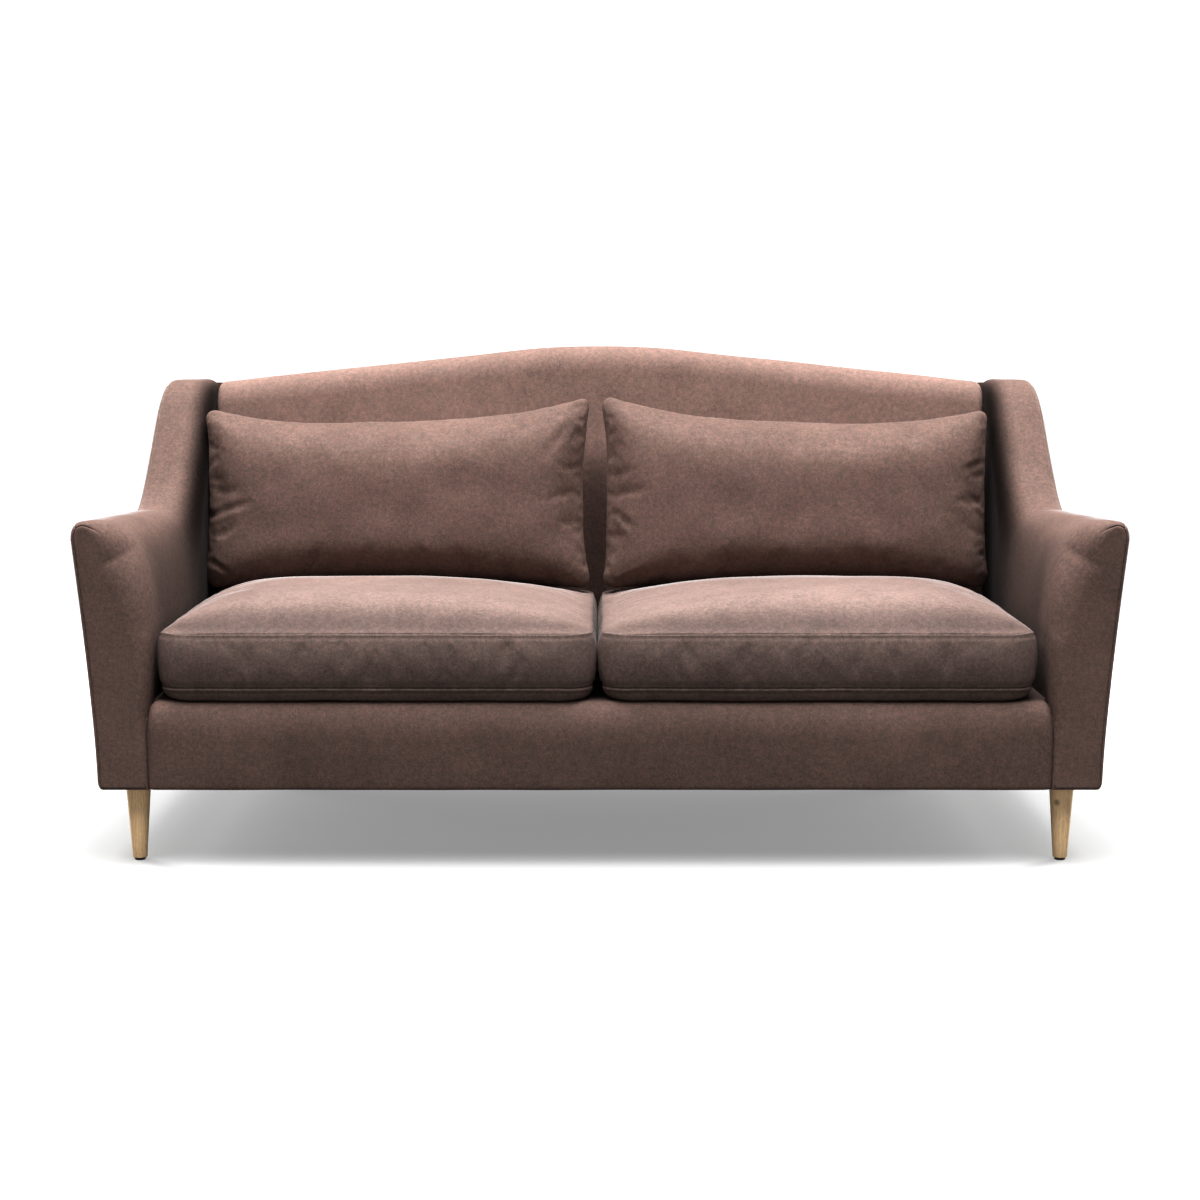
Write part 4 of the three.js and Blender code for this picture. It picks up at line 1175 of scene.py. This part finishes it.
pillow_creases = {
    "left": (
        ((-0.385, 0.150), (-0.300, 0.172), 0.008, 0.006),
        ((-0.385, 0.055), (-0.345, 0.030), 0.007, 0.005),
        ((-0.372, 0.225), (-0.352, 0.120), 0.016, 0.004),
        ((0.350, 0.330), (0.300, 0.270), 0.010, 0.003),
    ),
    "right": (
        ((-0.372, 0.155), (-0.335, 0.122), 0.008, 0.005),
        ((-0.366, 0.010), (-0.305, 0.036), 0.008, 0.005),
        ((0.385, 0.262), (0.340, 0.240), 0.007, 0.004),
        ((0.385, 0.170), (0.350, 0.190), 0.007, 0.005),
    ),
}
pillows = {}
for side, turn in sides:
    pillows[side] = pillow_piece(side, turn, pillow_creases[side])
    # Painted light: the pillows' velvet is painted a little lighter by its tone.
    upholstered(pillows[side], [f"back_pillow_cover_{side}", f"back_pillow_fill_{side}"],
                velvet_material(f"velvet_pillow_{side}", shift=(0.7 * turn, 0.2, 0.6), tone=1.07),
                body=f"back_pillow_{side}")

# Zips: closed coil zips that open the covers, one in each seat cushion's rear border and one low on
# each pillow's rear face. The coil is sewn to two tapes, and a small slider rests at its end.
zip_pitch = 0.0017
zip_tape_half = 0.0039
zip_coil_half = 0.0022
zip_coil_height = 0.0013
slider_size = (0.008, 0.0062, 0.0028)
pull_size = (0.019, 0.0042, 0.0009)
slider_stop = 8
path_window = 41


def nylon_material(name, colour, roughness):
    material, tree = new_material(name)
    place = shader_node(tree, "TexCoord").outputs["Object"]
    grain = cloud(tree, place, 900.0, 3.0).outputs["Fac"]
    spots = cloud(tree, place, 60.0, 2.0).outputs["Fac"]
    tone = shader_node(tree, "HueSaturation", {
        "Value": ranged(tree, spots, target=(0.8, 1.2)), "Color": colour,
    })
    rough = ranged(tree, spots, target=(roughness - 0.1, roughness + 0.1))
    surface(tree, tone.outputs["Color"], rough, grain, 0.3, 0.0003)
    return material


def steel_material(name, colour, roughness):
    material = nylon_material(name, colour, roughness)
    material.node_tree.nodes["Principled BSDF"].inputs["Metallic"].default_value = 1.0
    return material


def bevelled_block(name, size, place, width):
    bpy.ops.mesh.primitive_cube_add(size=1, location=place)
    made = bpy.context.object
    made.name = name
    made.scale = size
    place_in_mesh(made)
    edit_all(made, lambda: bpy.ops.mesh.bevel(offset=width, segments=3))
    bpy.ops.object.shade_smooth_by_angle(angle=math.radians(40))
    return made


zip_nylon = nylon_material("zip_nylon", (0.075, 0.055, 0.05, 1), 0.5)
zip_metal = steel_material("zip_slider", (0.42, 0.40, 0.38, 1), 0.35)


def zip_piece(kind, side, cushion):
    node = f"{kind}_zip_{side}"
    low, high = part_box(node)
    middle = (low + high) / 2
    surface = bvhtree.BVHTree.FromObject(cushion, bpy.context.evaluated_depsgraph_get())
    count = int((high.x - low.x) / zip_pitch * 2)
    xs = np.linspace(low.x, high.x, count)
    hits = [surface.find_nearest(Vector((x, middle.y, middle.z))) for x in xs]
    smooth = np.ones(path_window) / path_window
    path = np.array([hit[0] for hit in hits])
    outs = np.array([hit[1] for hit in hits])
    for values in (path, outs):
        for axis in (1, 2):
            longer = np.pad(values[:, axis], path_window // 2, mode="edge")
            values[:, axis] = np.convolve(longer, smooth, mode="valid")
    rows = []
    for index, (x, point, out) in enumerate(zip(xs, path, outs)):
        out = Vector((0, out[1], out[2])).normalized()
        across = out.cross(Vector((1, 0, 0)))
        coil = zip_coil_height * (1.0 if index % 2 else 0.62)
        profile = [
            (-zip_tape_half, -0.0012), (-zip_tape_half, 0.0004), (-zip_coil_half, 0.0005),
            (-zip_coil_half * 0.9, coil), (-0.0003, coil), (0, coil * 0.7), (0.0003, coil),
            (zip_coil_half * 0.9, coil), (zip_coil_half, 0.0005), (zip_tape_half, 0.0004),
            (zip_tape_half, -0.0012),
        ]
        centre = Vector((x, point[1], point[2]))
        rows.append([centre + across * u + out * v for u, v in profile])
    tape = skin_over_rows(f"{kind}_zip_tape_{side}", rows, closed=True)
    tape.data.materials.append(zip_nylon)
    end = Vector((xs[-slider_stop], *path[-slider_stop][1:]))
    out = Vector((0, *outs[-slider_stop][1:])).normalized()
    tilt = math.atan2(out.z, out.y)
    slider = bevelled_block(f"{kind}_zip_slider_{side}", slider_size, (0, 0, 0), 0.0008)
    pull_place = (-0.009, 0, slider_size[2] / 2 + 0.0006)
    pull = bevelled_block(f"{kind}_zip_pull_{side}", pull_size, pull_place, 0.0004)
    for made in (slider, pull):
        made.data.materials.append(zip_metal)
        made.rotation_euler = (tilt - math.pi / 2, 0, 0)
        made.location = end + out * (zip_coil_height + 0.0004)
        place_in_mesh(made)
    for made in (tape, slider, pull):
        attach(made, f"{kind}_{side}")
    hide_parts(node)


for side, turn in sides:
    zip_piece("seat_cushion", side, seats[side])
    zip_piece("back_pillow", side, pillows[side])

# Seat deck: a thin felt and foam pad in platform cloth, pulled tight over the springs. It is plain
# and matt, because the cushions cover it.
deck_low, deck_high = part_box("seat_deck")
deck_round = 0.006
deck_sag = 0.0025


def cloth_material(name, colour, threads, roughness, bump_depth):
    """A plain woven or pressed cloth: crossed threads with slightly uneven colour."""
    material, tree = new_material(name)
    place = shader_node(tree, "TexCoord").outputs["Object"]
    waves = [shader_node(tree, "TexWave", {
        "Vector": place, "Scale": threads, "Distortion": 1.2, "Detail": 2.0,
    }, wave_type="BANDS", bands_direction=axis).outputs["Fac"] for axis in ("X", "Y")]
    weave = computed(tree, "MULTIPLY", *waves)
    wear = cloud(tree, place, 14.0, 4.0).outputs["Fac"]
    both = computed(tree, "MULTIPLY_ADD", weave, 0.35, wear)
    tone = shader_node(tree, "HueSaturation", {
        "Value": ranged(tree, both, (0.3, 0.95), (0.75, 1.2)), "Color": colour,
    })
    rough = ranged(tree, wear, target=(roughness - 0.06, roughness + 0.06))
    surface(tree, tone.outputs["Color"], rough, weave, 0.5, bump_depth)
    return material


deck = bevelled_block("deck_pad", deck_high - deck_low, (deck_low + deck_high) / 2, deck_round)
edit_all(deck, lambda: bpy.ops.mesh.subdivide(number_cuts=24))
for vertex in deck.data.vertices:
    across = (vertex.co.x / deck_high.x) ** 2
    along = ((vertex.co.y - (deck_low.y + deck_high.y) / 2) / (deck_high.y - deck_low.y) * 2) ** 2
    vertex.co.z -= deck_sag * max(1 - across, 0) * max(1 - along, 0)
platform_cloth = cloth_material("platform_cloth", (0.13, 0.088, 0.074, 1), 420.0, 0.9, 0.0004)
upholstered(deck, ["seat_deck"], platform_cloth)

# Dust cover: a black non-woven cloth, pulled flat and stapled under the seat frame. The holes for the
# leg bolts are not cut in it.
cover_low, cover_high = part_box("dust_cover")
cover_size = cover_high - cover_low
cover_sag = 0.0012
bpy.ops.mesh.primitive_grid_add(
    x_subdivisions=72, y_subdivisions=36, size=1,
    location=((cover_low.x + cover_high.x) / 2, (cover_low.y + cover_high.y) / 2, cover_low.z + 0.0006),
)
dust_cover = bpy.context.object
dust_cover.name = "dust_cloth"
dust_cover.scale = (cover_size.x, cover_size.y, 1)
place_in_mesh(dust_cover)
for vertex in dust_cover.data.vertices:
    pull = noise.noise(Vector((vertex.co.x / 0.16, vertex.co.y / 0.10, 4.0)))
    edge = min(cover_high.x - abs(vertex.co.x), vertex.co.y - cover_low.y, cover_high.y - vertex.co.y)
    vertex.co.z -= cover_sag * (pull * 0.5 + 0.5) * smooth_share(0.02, 0.08, edge)
apply_modifier(dust_cover, "SOLIDIFY", thickness=0.0008, offset=1)
bpy.ops.object.shade_smooth()
dust_cover.data.materials.append(cloth_material("dust_cloth", (0.02, 0.02, 0.022, 1), 700.0, 0.85, 0.0002))
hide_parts("dust_cover")
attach(dust_cover, "frame")

# Hidden frame: planed hardwood boards glued and screwed together, zigzag springs of drawn wire
# across the seat, zinc-plated leg bolts and hard nylon glides under the legs.
timber_light = (0.64, 0.46, 0.27, 1)
timber_dark = (0.46, 0.31, 0.17, 1)
grain_turns = {"x": (0, math.pi / 2, 0), "y": (math.pi / 2, 0, 0), "z": (0, 0, 0)}
timbers = {
    axis: wood_material(f"planed_timber_{axis}", timber_light, timber_dark, 0.66, turn=turn, rings=26.0)
    for axis, turn in grain_turns.items()
}
post_clearance = 0.010


def trimmed_post(side):
    """The front post with its roll edge planed off, so that it lies clear under the rounded cover."""
    node = f"front_post_{side}"
    post = duplicate(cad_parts[node], f"planed_post_{side}")
    edit_all(post, weld)
    outline, radii = arm_section(0), arm_edge_radii()
    for vertex in post.data.vertices:
        away = np.hypot(outline[:, 0] - abs(vertex.co.x), outline[:, 1] - vertex.co.z)
        radius = radii[away.argmin()]
        level = max(radius - away.min(), 0)
        depth = radius - math.sqrt(radius * radius - level * level) + post_clearance
        if depth > post_clearance:
            vertex.co.y = max(vertex.co.y, depth_of_front + depth)
    post.data.materials.clear()
    post.data.materials.append(timbers["z"])
    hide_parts(node)
    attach(post, "frame")


for side, turn in sides:
    trimmed_post(side)
spring_wire = steel_material("spring_wire", (0.33, 0.33, 0.34, 1), 0.42)
bolt_zinc = steel_material("bolt_zinc", (0.62, 0.63, 0.66, 1), 0.3)
glide_nylon = nylon_material("glide_nylon", (0.045, 0.04, 0.036, 1), 0.48)
finishes = {
    "front_seat_rail": timbers["x"], "rear_seat_rail": timbers["x"], "rear_bottom_rail": timbers["x"],
    "centre_seat_rail": timbers["y"], "side_seat_rail": timbers["y"], "front_post": timbers["z"],
    "back_post": timbers["z"], "arm_top_rail": timbers["y"], "camel_top_rail": timbers["x"],
    "back_liner_rail": timbers["x"], "back_centre_upright": timbers["z"], "corner_block": timbers["z"],
    "seat_spring": spring_wire, "leg_bolt": bolt_zinc, "foot_glide": glide_nylon,
}
for start, finish in finishes.items():
    for name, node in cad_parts.items():
        if name.startswith(start):
            node.data.materials.clear()
            node.data.materials.append(finish)

low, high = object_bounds()
